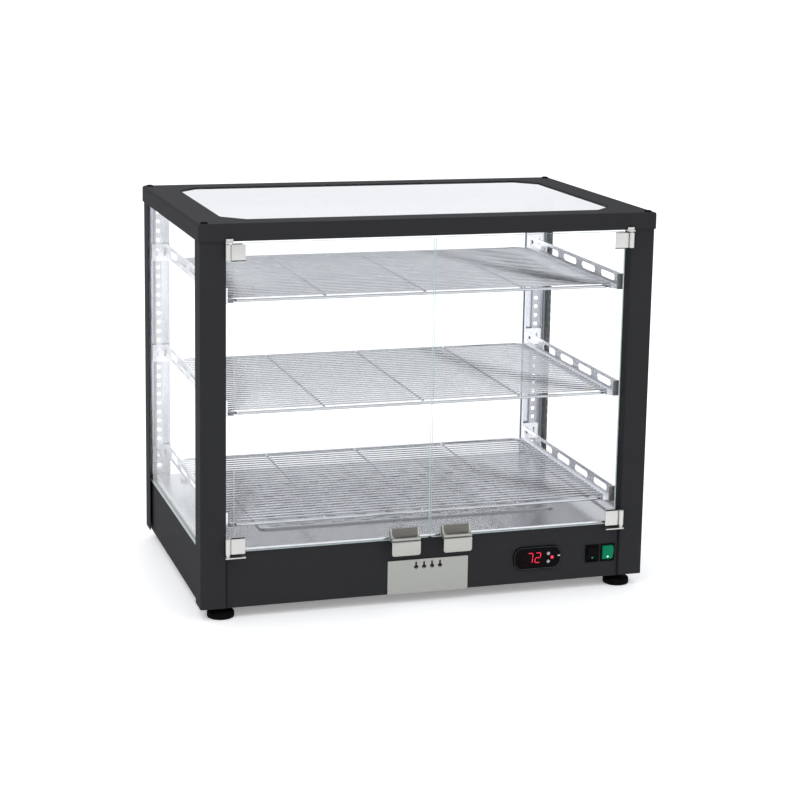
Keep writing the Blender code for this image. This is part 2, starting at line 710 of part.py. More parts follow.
def handle_scoop():
    """Middle line of the handle's upper leaf: down the glass, out in a hollow curve, round a nose and back."""
    top, reach = (-0.2523, HANDLE_TOP + 0.001), 0.0108
    drop = top[1] - 0.1185
    curve = []
    for i in range(7):
        angle = math.radians(15 * i)
        curve.append((top[0] - reach * (1 - math.cos(angle)), top[1] - drop * math.sin(angle)))
    nose = arc((top[0] - reach, 0.1173), 0.0012, 90, 270, 4)
    return curve + nose[1:] + [(-0.2606, 0.1161), (-0.2597, 0.1152), (-0.2597, 0.1130)]


def make_handles():
    """Folded door handles: a clip round the glass edge, a grip plate below it and a scoop above."""
    grip = -OVERHANG_Y + HANDLE_SHEET / 2
    hook = [
        (-0.2453, 0.130),
        (-0.2453, 0.1134),
        (-0.2600, 0.1134),
        (grip + 0.0008, 0.1118),
        (grip, 0.1085),
        (grip, HANDLE_BOTTOM - 0.001),
    ]
    handles = {}
    for name, side in sides():
        x0, x1 = sorted((side * HANDLE_INNER, side * HANDLE_OUTER))
        label = f"handle_{name}"
        handle = sheet_part(label, "brushed_stainless", hook, "x", x0, x1, HANDLE_SHEET, fold=0)
        scoop = sheet_helper(f"scoop_{label}", handle_scoop(), "x", x0, x1, HANDLE_SHEET, fold=0)
        combine(handle, scoop, "UNION")
        trim = rounded_box(
            f"trim_{label}",
            (x0 + 0.0002, -0.28, HANDLE_BOTTOM),
            (x1 - 0.0002, -0.24, HANDLE_TOP),
            HANDLE_CORNER,
            "y",
            segments=3,
        )
        combine(handle, helper(f"trim_{label}", trim), "INTERSECT")
        handles[name] = handle
    return handles


def make_doors():
    clips = make_hinges()
    handles = make_handles()
    for name, side in sides():
        corners = side_box(
            side, (DOOR_INNER, DOOR_FRONT, DOOR_BOTTOM), (DOOR_OUTER, DOOR_BACK, DOOR_TOP)
        )
        glass = part(f"door_glass_{name}", rounded_box("door_glass", *corners, 0.002, "y"), "clear_glass")
        pieces = [glass, handles[name], clips[name, "lower"], clips[name, "upper"]]
        pivot(f"door_{name}_axis", (side * PIVOT_X, PIVOT_Y, 0.3670), pieces)


# ---------------------------------------------------------------- water drawer


def make_drawer():
    """The water drawer: a front plate with keyhole vents and an open tank behind it."""
    back = -FASCIA_Y - GAP
    front = part(
        "drawer_front",
        rounded_box(
            "drawer_front", (-DRAWER_X, back - 0.0017, BASE_BOTTOM), (DRAWER_X, back, DRAWER_TOP), 0.001, "y", 1
        ),
        "brushed_stainless",
    )
    bulbs = cylinders("keyhole_bulbs", [(x, back, 0.0622) for x in KEYHOLE_X], 0.0037, 0.02, "y", 12)
    combine(front, helper("keyhole_bulbs", bulbs), "DIFFERENCE")
    stems = [((x - 0.0015, back - 0.01, 0.0630), (x + 0.0015, back + 0.01, 0.0713)) for x in KEYHOLE_X]
    combine(front, helper("keyhole_stems", boxes("keyhole_stems", stems)), "DIFFERENCE")
    tank_front = -FASCIA_Y
    tank = part(
        "drawer_tank",
        boxes("drawer_tank", [((-TANK_X, tank_front, TANK_BOTTOM), (TANK_X, TANK_BACK, TANK_TOP))]),
        "brushed_stainless",
    )
    inside = boxes(
        "tank_inside",
        [
            (
                (-TANK_X + THIN, tank_front + THIN, TANK_BOTTOM + THIN),
                (TANK_X - THIN, TANK_BACK - THIN, TANK_TOP + 0.02),
            )
        ],
    )
    combine(tank, helper("tank_inside", inside), "DIFFERENCE")
    pivot("drawer_axis", (0, tank_front, TANK_BOTTOM), [front, tank])


# ---------------------------------------------------------------- controls


def make_thermostat():
    """A panel thermostat: one black moulding with a display recess, and three push buttons."""
    x, z = THERMOSTAT_X, THERMOSTAT_Z
    half_x, half_z = BEZEL_HALF
    face = -0.2465
    bezel = rounded_box(
        "thermostat",
        (x - half_x, face, z - half_z),
        (x + half_x, -FASCIA_Y - GAP, z + half_z),
        0.012,
        "y",
        segments=4,
    )
    housing = part("thermostat", bezel, "black_plastic")
    body = boxes("thermostat_body", [((x - 0.038, -0.2430, z - 0.016), (x + 0.038, -0.185, z + 0.016))])
    combine(housing, helper("thermostat_body", body), "UNION")
    recess = boxes(
        "display_recess", [((x - 0.026, face - 0.01, z - 0.0125), (x + 0.0130, face + 0.0008, z + 0.0125))]
    )
    combine(housing, helper("display_recess", recess), "DIFFERENCE")
    wells = [(x + dx, -0.2460, z + dz) for dx, dz in BUTTONS.values()]
    cutter = cylinders("button_wells", wells, BUTTON_RADIUS + 0.0003, 0.010, "y")
    combine(housing, helper("button_wells", cutter), "DIFFERENCE")
    for name, (dx, dz) in BUTTONS.items():
        finish = "red_plastic" if name == "set" else "black_plastic"
        mesh = cylinders(f"button_{name}", [(0, 0, 0)], BUTTON_RADIUS, 0.0045, "y")
        button = part(f"button_{name}", mesh, finish)
        button.location = (x + dx, face - 0.0008 + 0.00225, z + dz)


def make_switches():
    """Two rocker switches, each a frame that snaps into the fascia and a rocker on a cross axis."""
    outline = [
        (0.0122, -0.0015),
        (0.0122, 0.0030),
        (0.0115, 0.0045),
        (0.0045, 0.0075),
        (-0.0122, 0.0025),
        (-0.0122, -0.0015),
        (0.0, -0.0055),
    ]
    for name, x in SWITCHES.items():
        low, high = (x - 0.0125, -0.2443, SWITCH_Z - 0.0155), (x + 0.0125, -FASCIA_Y - GAP, SWITCH_Z + 0.0155)
        frame = part(
            f"switch_frame_{name}", rounded_box(f"switch_{name}", low, high, 0.001, "y", 1), "black_plastic"
        )
        body = [((x - 0.0107, -0.2430, SWITCH_Z - 0.0137), (x + 0.0107, -0.218, SWITCH_Z + 0.0137))]
        combine(frame, helper(f"switch_body_{name}", boxes(f"switch_body_{name}", body)), "UNION")
        well = [((x - 0.0099, -0.26, SWITCH_Z - 0.0129), (x + 0.0099, -0.230, SWITCH_Z + 0.0129))]
        combine(frame, helper(f"switch_well_{name}", boxes(f"switch_well_{name}", well)), "DIFFERENCE")
        profile = [(-reach, rise) for rise, reach in outline]
        mesh = prism(f"rocker_{name}", profile, -0.0096, 0.0096)
        rocker = part(f"rocker_{name}", mesh, "green_plastic" if name == "light" else "black_plastic")
        rocker.location = (x, ROCKER_PIVOT_Y, SWITCH_Z)


# ---------------------------------------------------------------- heating


def make_heater():
    """A sheathed element bent to and fro under the vent plate, on a bar fixed inside the rear panel."""
    bend = HEATER_BEND
    route = [(-0.150, 0.2375)]
    route += arc((-0.100, -0.080), bend, 180, 360, 8)
    route += arc((0.0, 0.130), bend, 180, 0, 8)
    route += arc((0.100, -0.080), bend, 180, 360, 8)
    route += [(0.150, 0.2375)]
    points = [(x, y, HEATER_Z) for x, y in route]
    element = part("heater_element", wire_mesh("heater_element", [points], HEATER_TUBE, 2), "heater_steel")
    bar = boxes("heater_bar", [((-0.170, 0.2365, 0.083), (0.170, 0.2385, 0.107))])
    combine(element, helper("heater_bar", bar), "UNION")


def make_fan():
    """A square axial fan on four stand-offs above the air intake, and its bladed rotor."""
    y0, y1 = FAN_Y - FAN_HALF, FAN_Y + FAN_HALF
    housing = part(
        "fan_housing",
        rounded_box("fan_housing", (-FAN_HALF, y0, FAN_BOTTOM), (FAN_HALF, y1, FAN_TOP), 0.006, "z"),
        "black_plastic",
    )
    middle = (FAN_BOTTOM + FAN_TOP) / 2
    bore = cylinders("fan_bore", [(0, FAN_Y, middle)], FAN_BORE, 0.05, sides=28)
    combine(housing, helper("fan_bore", bore), "DIFFERENCE")
    spokes = [
        ((-FAN_BORE - 0.001, FAN_Y - 0.003, FAN_BOTTOM), (FAN_BORE + 0.001, FAN_Y + 0.003, FAN_BOTTOM + 0.003))
    ]
    combine(housing, helper("fan_spokes", boxes("fan_spokes", spokes)), "UNION")
    spokes = [
        (
            (-0.003, FAN_Y - FAN_BORE - 0.001, FAN_BOTTOM + 0.0002),
            (0.003, FAN_Y + FAN_BORE + 0.001, FAN_BOTTOM + 0.0032),
        )
    ]
    combine(housing, helper("fan_cross", boxes("fan_cross", spokes)), "UNION")
    motor = cylinders("fan_motor", [(0, FAN_Y, FAN_BOTTOM + 0.004)], FAN_HUB + 0.001, 0.0079)
    combine(housing, helper("fan_motor", motor), "UNION")
    legs = [
        (sx * 0.0525, FAN_Y + sy * 0.0525, (PAN_TOP + GAP + FAN_BOTTOM + 0.001) / 2)
        for sx in (-1, 1)
        for sy in (-1, 1)
    ]
    length = FAN_BOTTOM + 0.001 - PAN_TOP - GAP
    combine(housing, helper("fan_legs", cylinders("fan_legs", legs, 0.004, length, sides=12)), "UNION")

    base = FAN_BOTTOM + 0.0085
    hub_length = FAN_TOP - 0.001 - base
    hub = part("fan_rotor", cylinders("fan_rotor", [(0, 0, 0)], FAN_HUB, hub_length), "black_plastic")
    bm = bmesh.new()
    for i in range(BLADES):
        verts = add_box(bm, (FAN_HUB - 0.002, -0.013, -0.0008), (FAN_TIP, 0.013, 0.0008))
        tilt = Matrix.Rotation(math.radians(28), 4, "X")
        turn = Matrix.Rotation(2 * math.pi * i / BLADES, 4, "Z")
        bmesh.ops.transform(bm, matrix=turn @ tilt, verts=verts)
    blades = helper("fan_blades", mesh_from(bm, "fan_blades"))
    combine(hub, blades, "UNION")
    hub.location = (0, FAN_Y, base + hub_length / 2)
    blades.location = hub.location


def make_probe_and_gland():
    """The cabin's temperature probe with its domed cap, and the gland where the supply cable enters."""
    deck_top = DECK_Z + THIN / 2
    cap_radius, cap_height = 0.007, 0.0075
    dome = [
        (cap_radius * math.sin(math.radians(a)), deck_top + GAP + 0.001 + cap_height * math.cos(math.radians(a)))
        for a in (0, 30, 60, 90)
    ]
    profile = dome + [(cap_radius, deck_top + GAP), (0.003, deck_top + GAP), (0.003, 0.096), (0, 0.096)]
    turned("temperature_probe", profile, "brushed_stainless", (PROBE_X, PROBE_Y, 0), steps=12)

    wall = FASCIA_Y
    gland = [
        (0.0045, OVERHANG_Y),
        (0.0075, OVERHANG_Y),
        (0.0095, OVERHANG_Y - 0.004),
        (0.0095, wall + 0.009),
        (0.0120, wall + 0.009),
        (0.0120, wall + GAP),
        (0.0088, wall + GAP),
        (0.0088, wall - SHEET - GAP),
        (0.0120, wall - SHEET - GAP),
        (0.0120, wall - 0.007),
        (0.0088, wall - 0.007),
        (0.0088, wall - 0.012),
        (0.0045, wall - 0.012),
    ]
    turned("cable_gland", gland, "black_plastic", (GLAND_X, 0, GLAND_Z), axis="y", ring=True)


def shade_round_pieces():
    for obj in PARTS.objects:
        if obj.type == "MESH":
            obj.data.shade_smooth()
            obj.data.set_sharp_from_angle(angle=math.radians(30))


PARTS, CUTTERS = start_scene()
make_posts()
make_lid()
make_panels()
make_feet()
make_panes()
make_deck()
make_vent_plate()
make_uprights()
make_rails()
make_shelves()
make_doors()
make_drawer()
make_thermostat()
make_switches()
make_heater()
make_fan()
make_probe_and_gland()
shade_round_pieces()
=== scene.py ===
# %% [markdown]
# # A countertop hot food display case
#
# Bakeries and buffets keep pies and pastries warm in a case like this one. It is a box of black
# powder-coated sheet metal and clear glass. Three chromed wire shelves hang on perforated stainless
# rails, two glass doors open at the front, and the base hides a heater, a fan and a water drawer.
#
# The solid model of the case is loaded first, and it fixes every position. This script then adds the
# fine surfaces and the finishes, so lengths are in metres, with X to the right, Y to the back, Z up.

import math

import bmesh
import bpy
import numpy as np
from mathutils import Matrix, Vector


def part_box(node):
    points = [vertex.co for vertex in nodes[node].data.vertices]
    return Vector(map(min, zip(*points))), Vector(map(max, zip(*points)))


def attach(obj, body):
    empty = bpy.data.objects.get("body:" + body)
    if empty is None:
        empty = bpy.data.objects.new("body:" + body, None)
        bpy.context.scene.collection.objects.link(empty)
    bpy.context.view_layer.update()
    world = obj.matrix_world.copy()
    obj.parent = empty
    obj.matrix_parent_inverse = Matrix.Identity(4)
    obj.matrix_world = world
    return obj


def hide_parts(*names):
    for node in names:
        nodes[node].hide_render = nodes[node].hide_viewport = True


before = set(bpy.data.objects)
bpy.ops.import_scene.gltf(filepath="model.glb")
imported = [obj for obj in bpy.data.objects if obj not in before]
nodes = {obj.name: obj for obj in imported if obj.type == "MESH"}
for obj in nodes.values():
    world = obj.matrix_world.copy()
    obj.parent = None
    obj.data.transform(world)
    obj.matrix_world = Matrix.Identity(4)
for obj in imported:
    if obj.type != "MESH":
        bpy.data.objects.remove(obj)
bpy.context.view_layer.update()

# %% [markdown]
# ## The camera
#
# The case is seen from a little above and from its left, as from across a counter. A camera's
# direction can be set with three turns, but a matrix of its own axes is clearer: where it looks, and
# what is to its right. The lens is long, about 90 mm, so upright edges stay almost parallel.

# %% Camera
EYE = np.array([-1.0064, -3.2557, 1.0955])
YAW, PITCH, ROLL = 0.3055, -0.1913, 0.0171

forward = np.array([math.sin(YAW) * math.cos(PITCH), math.cos(YAW) * math.cos(PITCH), math.sin(PITCH)])
level_right = np.array([math.cos(YAW), -math.sin(YAW), 0.0])
level_up = np.cross(level_right, forward)
right = level_right * math.cos(ROLL) + level_up * math.sin(ROLL)
up = level_up * math.cos(ROLL) - level_right * math.sin(ROLL)

camera_data = bpy.data.cameras.new("shop_camera")
camera_data.lens, camera_data.sensor_width = 89.1, 36.0
camera_data.shift_y = -0.1
camera_data.clip_end = 200.0
camera = bpy.data.objects.new("shop_camera", camera_data)
pose = np.eye(4)
pose[:3, 0], pose[:3, 1], pose[:3, 2], pose[:3, 3] = right, up, -forward, EYE
camera.matrix_world = Matrix(pose.tolist())
bpy.context.scene.collection.objects.link(camera)
bpy.context.scene.camera = camera
print("camera looks along", np.round(forward, 3).tolist())

# %% [markdown]
# ## Light and floor
#
# Glass, chrome and polished steel show the room more than themselves, so the room matters. A plain
# white surround gives them something bright to reflect, as a photographer's light tent does. Two large
# soft lamps add a direction, so that folded edges catch a line of light. The floor is a wide pale
# sheet, far bigger than the view.

# %% Surround, lamps and floor
scene = bpy.context.scene
scene.view_settings.view_transform = "Standard"
room = bpy.data.worlds.new("light_tent")
scene.world = room
room.use_nodes = True
room.node_tree.nodes["Background"].inputs["Color"].default_value = (0.96, 0.97, 1.0, 1.0)
room.node_tree.nodes["Background"].inputs["Strength"].default_value = 1.0


def soft_lamp(name, place, aim, size, power, colour=(1.0, 1.0, 1.0)):
    """A square lamp at a place; its -Z axis is turned to face the aim."""
    lamp = bpy.data.lights.new(name, "AREA")
    lamp.shape, lamp.size, lamp.energy, lamp.color = "SQUARE", size, power, colour
    holder = bpy.data.objects.new(name, lamp)
    back = np.array(place, float) - np.array(aim, float)
    back /= np.linalg.norm(back)
    side = np.cross((0.0, 0.0, 1.0), back)
    side /= np.linalg.norm(side)
    turn = np.eye(4)
    turn[:3, 0], turn[:3, 1], turn[:3, 2], turn[:3, 3] = side, np.cross(back, side), back, place
    holder.matrix_world = Matrix(turn.tolist())
    scene.collection.objects.link(holder)
    return holder


soft_lamp("lamp_over_left", (-1.9, -1.6, 2.9), (0, 0, 0.3), 1.8, 20.0)
soft_lamp("lamp_right_front", (2.2, -2.4, 1.6), (0, 0, 0.3), 1.6, 5.0)
soft_lamp("lamp_behind", (0.4, 2.6, 2.2), (0, 0, 0.3), 2.0, 12.0)

floor_mesh = bpy.data.meshes.new("floor")
FLOOR_REACH, FLOOR_Z = 40.0, -0.0005
floor_corners = [(x * FLOOR_REACH, y * FLOOR_REACH, FLOOR_Z) for x, y in ((-1, -1), (1, -1), (1, 1), (-1, 1))]
floor_mesh.from_pydata(floor_corners, [], [(0, 1, 2, 3)])
floor = bpy.data.objects.new("floor", floor_mesh)
scene.collection.objects.link(floor)

# %% [markdown]
# ## Shader maths in Python
#
# A procedural finish is a small formula of the place on the surface. Blender writes formulas as
# nodes, which get long. Here a `Signal` wraps one output socket, so `0.3 + 0.1 * grain` in Python
# adds the Math nodes by itself, and `Signal.add` makes any other node.


# %% Signals
class Signal:
    """One shader value or colour. Arithmetic on it adds Math nodes."""

    def __init__(self, tree, socket):
        self.tree, self.socket = tree, socket

    def add(self, kind, settings=None, inputs=None, output=0):
        made = self.tree.nodes.new(kind)
        for key, value in (settings or {}).items():
            if key == "stops":
                ramp = made.color_ramp
                while len(ramp.elements) < len(value):
                    ramp.elements.new(0.5)
                for element, (position, colour) in zip(ramp.elements, value):
                    element.position, element.color = position, colour
            else:
                setattr(made, key, value)
        for key, value in (inputs or {}).items():
            connect(self.tree, made.inputs[key], value)
        return Signal(self.tree, made.outputs[output])

    def maths(self, operation, first, second=0.5):
        return self.add("ShaderNodeMath", {"operation": operation}, {0: first, 1: second})

    def __add__(self, other):
        return self.maths("ADD", self, other)

    def __sub__(self, other):
        return self.maths("SUBTRACT", self, other)

    def __rsub__(self, other):
        return self.maths("SUBTRACT", other, self)

    def __mul__(self, other):
        return self.maths("MULTIPLY", self, other)

    def __truediv__(self, other):
        return self.maths("DIVIDE", self, other)

    def __rtruediv__(self, other):
        return self.maths("DIVIDE", other, self)

    def __lt__(self, other):
        return self.maths("LESS_THAN", self, other)

    def __gt__(self, other):
        return self.maths("GREATER_THAN", self, other)

    def __abs__(self):
        return self.maths("ABSOLUTE", self)

    __radd__, __rmul__ = __add__, __mul__


def connect(tree, socket, value):
    """Links a signal to a socket, or sets the socket's own value."""
    if isinstance(value, Signal):
        tree.links.new(value.socket, socket)
    elif hasattr(socket.default_value, "__len__") and len(socket.default_value) == 4 and len(value) == 3:
        socket.default_value = (*value, 1.0)
    else:
        socket.default_value = value


def start_finish(name):
    """A new material, its Principled shader and the place on the surface as a signal."""
    material = bpy.data.materials.new(name)
    material.use_nodes = True
    tree = material.node_tree
    coordinates = tree.nodes.new("ShaderNodeTexCoord")
    return material, tree.nodes["Principled BSDF"], Signal(tree, coordinates.outputs["Object"])


def set_shader(shader, **values):
    """Sets or links sockets of a shader; an underscore in a name stands for a space."""
    for key, value in values.items():
        connect(shader.id_data, shader.inputs[key.replace("_", " ")], value)


print("signals are ready")

# %% [markdown]
# Noise and scratches are used by most finishes, so each gets a helper. Brush lines are ordinary noise
# whose coordinates are squeezed: many millimetres long one way and a fraction of a millimetre wide the
# other way.


# %% Noise, brush lines, colour mixes and bumps
def noise(place, scale, detail=2.0, stretch=(1.0, 1.0, 1.0), seed=(0.0, 0.0, 0.0)):
    """Smooth noise from 0 to 1 on coordinates multiplied by a stretch along each axis."""
    spot = place.add("ShaderNodeMapping", None, {"Vector": place, "Scale": stretch, "Location": seed})
    return place.add("ShaderNodeTexNoise", None, {"Vector": spot, "Scale": scale, "Detail": detail})


def mix_colour(mask, first, second):
    """The first colour where the mask is 0, the second where it is 1."""
    return mask.add("ShaderNodeMix", {"data_type": "RGBA"}, {0: mask, 6: first, 7: second}, 2)


def bump(height, distance, strength=1.0):
    return height.add("ShaderNodeBump", None, {"Height": height, "Distance": distance, "Strength": strength})


def ramp_mask(value, low, high):
    """Rises smoothly from 0 to 1 as a value goes from low to high."""
    sockets = {"Value": value, "From Min": low, "From Max": high}
    return value.add("ShaderNodeMapRange", {"interpolation_type": "SMOOTHSTEP"}, sockets)


print("helpers are ready")

# %% [markdown]
# ## Finishes
#
# Black powder coat is cured paint powder. It looks smooth from afar, but close up it has the fine
# pebbled skin of an orange, half a millimetre across, and a soft sheen. A tiny bump and a little
# variation in roughness make light spread on it as it does on the real paint.


# %% Black powder coat
def powder_coat():
    material, shader, place = start_finish("black_powder_coat")
    pebble = noise(place, 900.0, 2.0)
    cloud = noise(place, 6.0, 3.0)
    dust = ramp_mask(noise(place, 260.0, 4.0), 0.62, 0.80)
    colour = mix_colour(cloud, (0.0245, 0.0247, 0.0268), (0.0290, 0.0293, 0.0315))
    set_shader(
        shader,
        Base_Color=mix_colour(dust * 0.25, colour, (0.05, 0.05, 0.052)),
        Roughness=0.50 + 0.08 * cloud + 0.06 * pebble,
        Specular_IOR_Level=0.012,
        Normal=bump(pebble, 0.00006, 0.5),
    )
    return material


PAINT = powder_coat()
print("made", PAINT.name)

# %% [markdown]
# Stainless sheet comes brushed along one direction. Each finish below says which axis its lines run
# along, and the same recipe serves the floor of the cabin, the uprights, the rails and the handles.


# %% Brushed stainless
def hollow_shade_mask(place):
    """1 where shade is painted into a handle's hollow: a rounded rectangle, |max(|p - c| - h, 0)| < r in x
    and z.
    """
    x = place.add("ShaderNodeSeparateXYZ", None, {0: place}, "X")
    z = place.add("ShaderNodeSeparateXYZ", None, {0: place}, "Z")
    across = x.maths("MAXIMUM", abs(abs(x) - 0.045) - 0.0165, 0.0)
    below = x.maths("MAXIMUM", 0.1257 - z, 0.0)
    distance = x.maths("POWER", across * across + below * below, 0.5)
    return 1.0 - ramp_mask(distance, 0.0056, 0.0063)


def brushed_steel(name, along, colour, roughness, depth=0.000012, smudge=0.5, contrast=1.0, hollow=False):
    """Steel whose brush lines run along one axis: noise squeezed forty times across them."""
    material, shader, place = start_finish(name)
    stretch = [40.0, 40.0, 40.0]
    stretch["xyz".index(along)] = 0.6
    lines = noise(place, 28.0, 5.0, stretch)
    broad = noise(place, 5.0, 2.0, [max(s / 12.0, 0.5) for s in stretch], (0.4, 0.1, 0.7))
    touch = ramp_mask(noise(place, 9.0, 4.0, seed=(3.1, 0.2, 1.4)), 0.52, 0.75)
    darker = tuple((1.0 - 0.16 * contrast) * part for part in colour)
    lighter = tuple(min(1.0, (1.0 + 0.08 * contrast) * part) for part in colour)
    shade = mix_colour(0.55 * lines + 0.45 * broad, darker, lighter)
    if hollow:
        # Painted shade: inside the handle's hollow the colour turns a darker brown-grey. It stands in for the
        # shade and the dark reflection in the pocket.
        shade = mix_colour(hollow_shade_mask(place), shade, (0.15, 0.145, 0.13))
    set_shader(
        shader,
        Metallic=1.0,
        Base_Color=shade,
        Roughness=roughness + 0.16 * contrast * (lines - 0.5) + smudge * 0.10 * touch,
        Normal=bump(lines, depth, 0.6),
    )
    return material


DECK_STEEL = brushed_steel("cabin_floor_steel", "x", (0.47, 0.475, 0.49), 0.20, 0.000001, 0.0, 0.3)
UPRIGHT_STEEL = brushed_steel("upright_steel", "z", (0.74, 0.74, 0.80), 0.26)
RAIL_STEEL = brushed_steel("rail_steel", "y", (0.84, 0.84, 0.87), 0.25, 0.000006, 0.2, 0.6)
# The handle steel also carries the painted shade in its hollow.
HANDLE_STEEL = brushed_steel("handle_steel", "x", (0.46, 0.455, 0.425), 0.34, 0.000008, 0.2, 1.0, True)
DRAWER_STEEL = brushed_steel("drawer_steel", "x", (0.41, 0.415, 0.39), 0.45, 0.000010, 0.2)
HINGE_STEEL = brushed_steel("hinge_steel", "z", (0.62, 0.62, 0.595), 0.36, 0.000008, 0.2)
print("made", [m.name for m in bpy.data.materials if m.name.endswith("_steel")])

# %% [markdown]
# Chrome on wire is nearly a mirror. What makes it read as plated wire and not as glass is a slightly
# uneven gloss, with duller patches near the welds.


# %% Chrome, probe and heater steel
def chrome():
    material, shader, place = start_finish("chrome_plate")
    patch = noise(place, 40.0, 3.0)
    set_shader(
        shader,
        Metallic=1.0,
        Base_Color=mix_colour(patch, (0.50, 0.51, 0.53), (0.66, 0.67, 0.69)),
        Roughness=0.06 + 0.09 * patch,
    )
    return material


def hot_steel():
    """Heater sheath: steel tinted straw to blue-brown by heat, in slow bands along the tube."""
    material, shader, place = start_finish("heater_sheath")
    tint = noise(place, 14.0, 3.0)
    set_shader(
        shader,
        Metallic=1.0,
        Base_Color=mix_colour(tint, (0.16, 0.13, 0.14), (0.38, 0.30, 0.22)),
        Roughness=0.42 + 0.15 * tint,
    )
    return material


CHROME = chrome()
SHEATH = hot_steel()
print("made", CHROME.name, SHEATH.name)

# %% [markdown]
# ## Glass
#
# A pane could bend light as real glass does, but a flat pane shifts it by a millimetre only, and the
# bending costs many light paths and darkens what stands behind. So a pane is mostly a clear filter
# mixed with a mirror whose share grows at grazing angles. The ground edges of the pane are a paler,
# denser green-white, found by how far out on the pane a point lies.


# %% Clear panes
def pane_glass(pane, across, share=0.55):
    """Clear filter and mirror, mixed by 0.03 + 0.97 f^5; the ground edges are where |p - c| reaches h."""
    material, shader, place = start_finish(f"{pane}_finish")
    tree = material.node_tree
    corners = np.array([vertex.co for vertex in nodes[pane].data.vertices])
    centre, half = (corners.max(0) + corners.min(0)) / 2, (corners.max(0) - corners.min(0)) / 2
    beyond = []
    for index, axis in enumerate("XYZ"):
        if axis != across:
            along = place.add("ShaderNodeSeparateXYZ", None, {0: place}, axis)
            beyond.append(abs(along - float(centre[index])) > float(half[index]) - 0.00015)
    edge = place.maths("MAXIMUM", *beyond)
    facing_away = place.add("ShaderNodeLayerWeight", None, {"Blend": 0.5}, "Facing")
    fresnel = 0.03 + 0.97 * facing_away.maths("POWER", facing_away, 5.0)
    film = ramp_mask(noise(place, 4.0, 3.0), 0.35, 0.8)
    set_shader(
        shader,
        Base_Color=mix_colour(edge, (0.95, 0.97, 0.97), (0.55, 0.66, 0.64)),
        Metallic=1.0 - edge,
        Roughness=0.012 + 0.02 * film + 0.25 * edge,
    )
    clear = tree.nodes.new("ShaderNodeBsdfTransparent")
    clear.inputs["Color"].default_value = (0.992, 0.996, 0.996, 1.0)
    blend = tree.nodes.new("ShaderNodeMixShader")
    amount = (share * fresnel) * (1.0 - edge) + 0.72 * edge
    tree.links.new(amount.socket, blend.inputs[0])
    tree.links.new(clear.outputs[0], blend.inputs[1])
    tree.links.new(shader.outputs[0], blend.inputs[2])
    tree.links.new(blend.outputs[0], tree.nodes["Material Output"].inputs["Surface"])
    return material


PANES = {"top_glass": ("Z", 1.75), "rear_glass": ("Y", 0.55)}
PANES.update({f"side_glass_{side}": ("X", 0.55) for side in ("left", "right")})
PANES.update({f"door_glass_{side}": ("Y", 0.55) for side in ("left", "right")})
GLASS = {pane: pane_glass(pane, across, share) for pane, (across, share) in PANES.items()}
print("made", sorted(GLASS))

# %% [markdown]
# ## Plastics and rubber
#
# Moulded plastic is never quite flat: its gloss changes slowly over a few millimetres. The green
# rocker is clear coloured plastic with a small lamp inside, so it glows a little by itself. The
# digits of the display glow red behind a smoked lens.


# %% Plastics, rubber and lamps
def moulded(name, colour, roughness, grain=0.03, coat=0.0, glow=None, strength=0.0, specular=0.5):
    """Plastic with a slow change of gloss and a fine spark-eroded grain."""
    material, shader, place = start_finish(name)
    slow = noise(place, 60.0, 2.0)
    fine = noise(place, 1600.0, 1.0)
    lighter = tuple(min(1.0, 1.25 * part + 0.002) for part in colour)
    set_shader(
        shader,
        Base_Color=mix_colour(slow, colour, lighter),
        Roughness=roughness + grain * slow + 0.5 * grain * fine,
        Coat_Weight=coat,
        Specular_IOR_Level=specular,
        Normal=bump(fine, 0.00002, 0.3),
    )
    if glow:
        set_shader(shader, Emission_Color=glow, Emission_Strength=strength)
    return material


BEZEL_PLASTIC = moulded("bezel_plastic", (0.003, 0.003, 0.0035), 0.25, 0.06, specular=0.02)
DARK_PLASTIC = moulded("dark_plastic", (0.003, 0.003, 0.0035), 0.42, 0.08, specular=0.02)
SMOKED_LENS = moulded("smoked_lens", (0.004, 0.001, 0.002), 0.10, 0.02, specular=0.04)
GREEN_ROCKER = moulded("green_rocker", (0.003, 0.10, 0.055), 0.30, 0.04, 0.0, (0.0, 0.50, 0.20), 0.14, 0.05)
GREEN_LAMP = moulded("green_lamp", (0.45, 0.9, 0.6), 0.3, 0.02, 0.0, (0.45, 1.0, 0.65), 1.1)
GREEN_DOT = moulded("green_dot", (0.0, 0.12, 0.05), 0.3, 0.02, 0.0, (0.0, 0.35, 0.16), 0.5)
RED_DIGIT = moulded("red_digit", (0.5, 0.0, 0.03), 0.4, 0.02, 0.0, (1.0, 0.012, 0.05), 0.7)
RED_KEY = moulded("red_key", (0.55, 0.02, 0.05), 0.35, 0.04, 0.0, (1.0, 0.03, 0.08), 0.35)
GREY_KEY = moulded("grey_key", (0.30, 0.29, 0.29), 0.45, 0.05)
# The rim plastic is a lighter grey that paints a highlight line round the bezel.
RIM_HIGHLIGHT_PLASTIC = moulded("rim_painted_highlight", (0.05, 0.05, 0.052), 0.3, 0.05, specular=0.25)
WHITE_MARK = moulded("white_mark", (0.62, 0.62, 0.62), 0.45, 0.05)
RUBBER = moulded("foot_rubber", (0.002, 0.002, 0.002), 0.60, 0.12, specular=0.03)
# This black rubber also serves as painted shade in the gaps beside the fascia.
GASKET_AND_SHADE = moulded("gasket_rubber_and_painted_shade", (0.008, 0.008, 0.009), 0.6, 0.1, specular=0.12)
STRIP_PLASTIC = moulded("strip_plastic", (0.72, 0.72, 0.76), 0.35, 0.05)
LAMP_GEL = moulded("lamp_gel", (0.92, 0.92, 0.90), 0.25, 0.03, 0.0, (1.0, 0.985, 0.96), 1.6)
PALE_FLOOR = moulded("pale_floor", (0.93, 0.93, 0.93), 0.65, 0.05, 0.0, (1.0, 1.0, 1.0), 0.25)
floor_mesh.materials.append(PALE_FLOOR)
print("finishes so far:", len(bpy.data.materials))

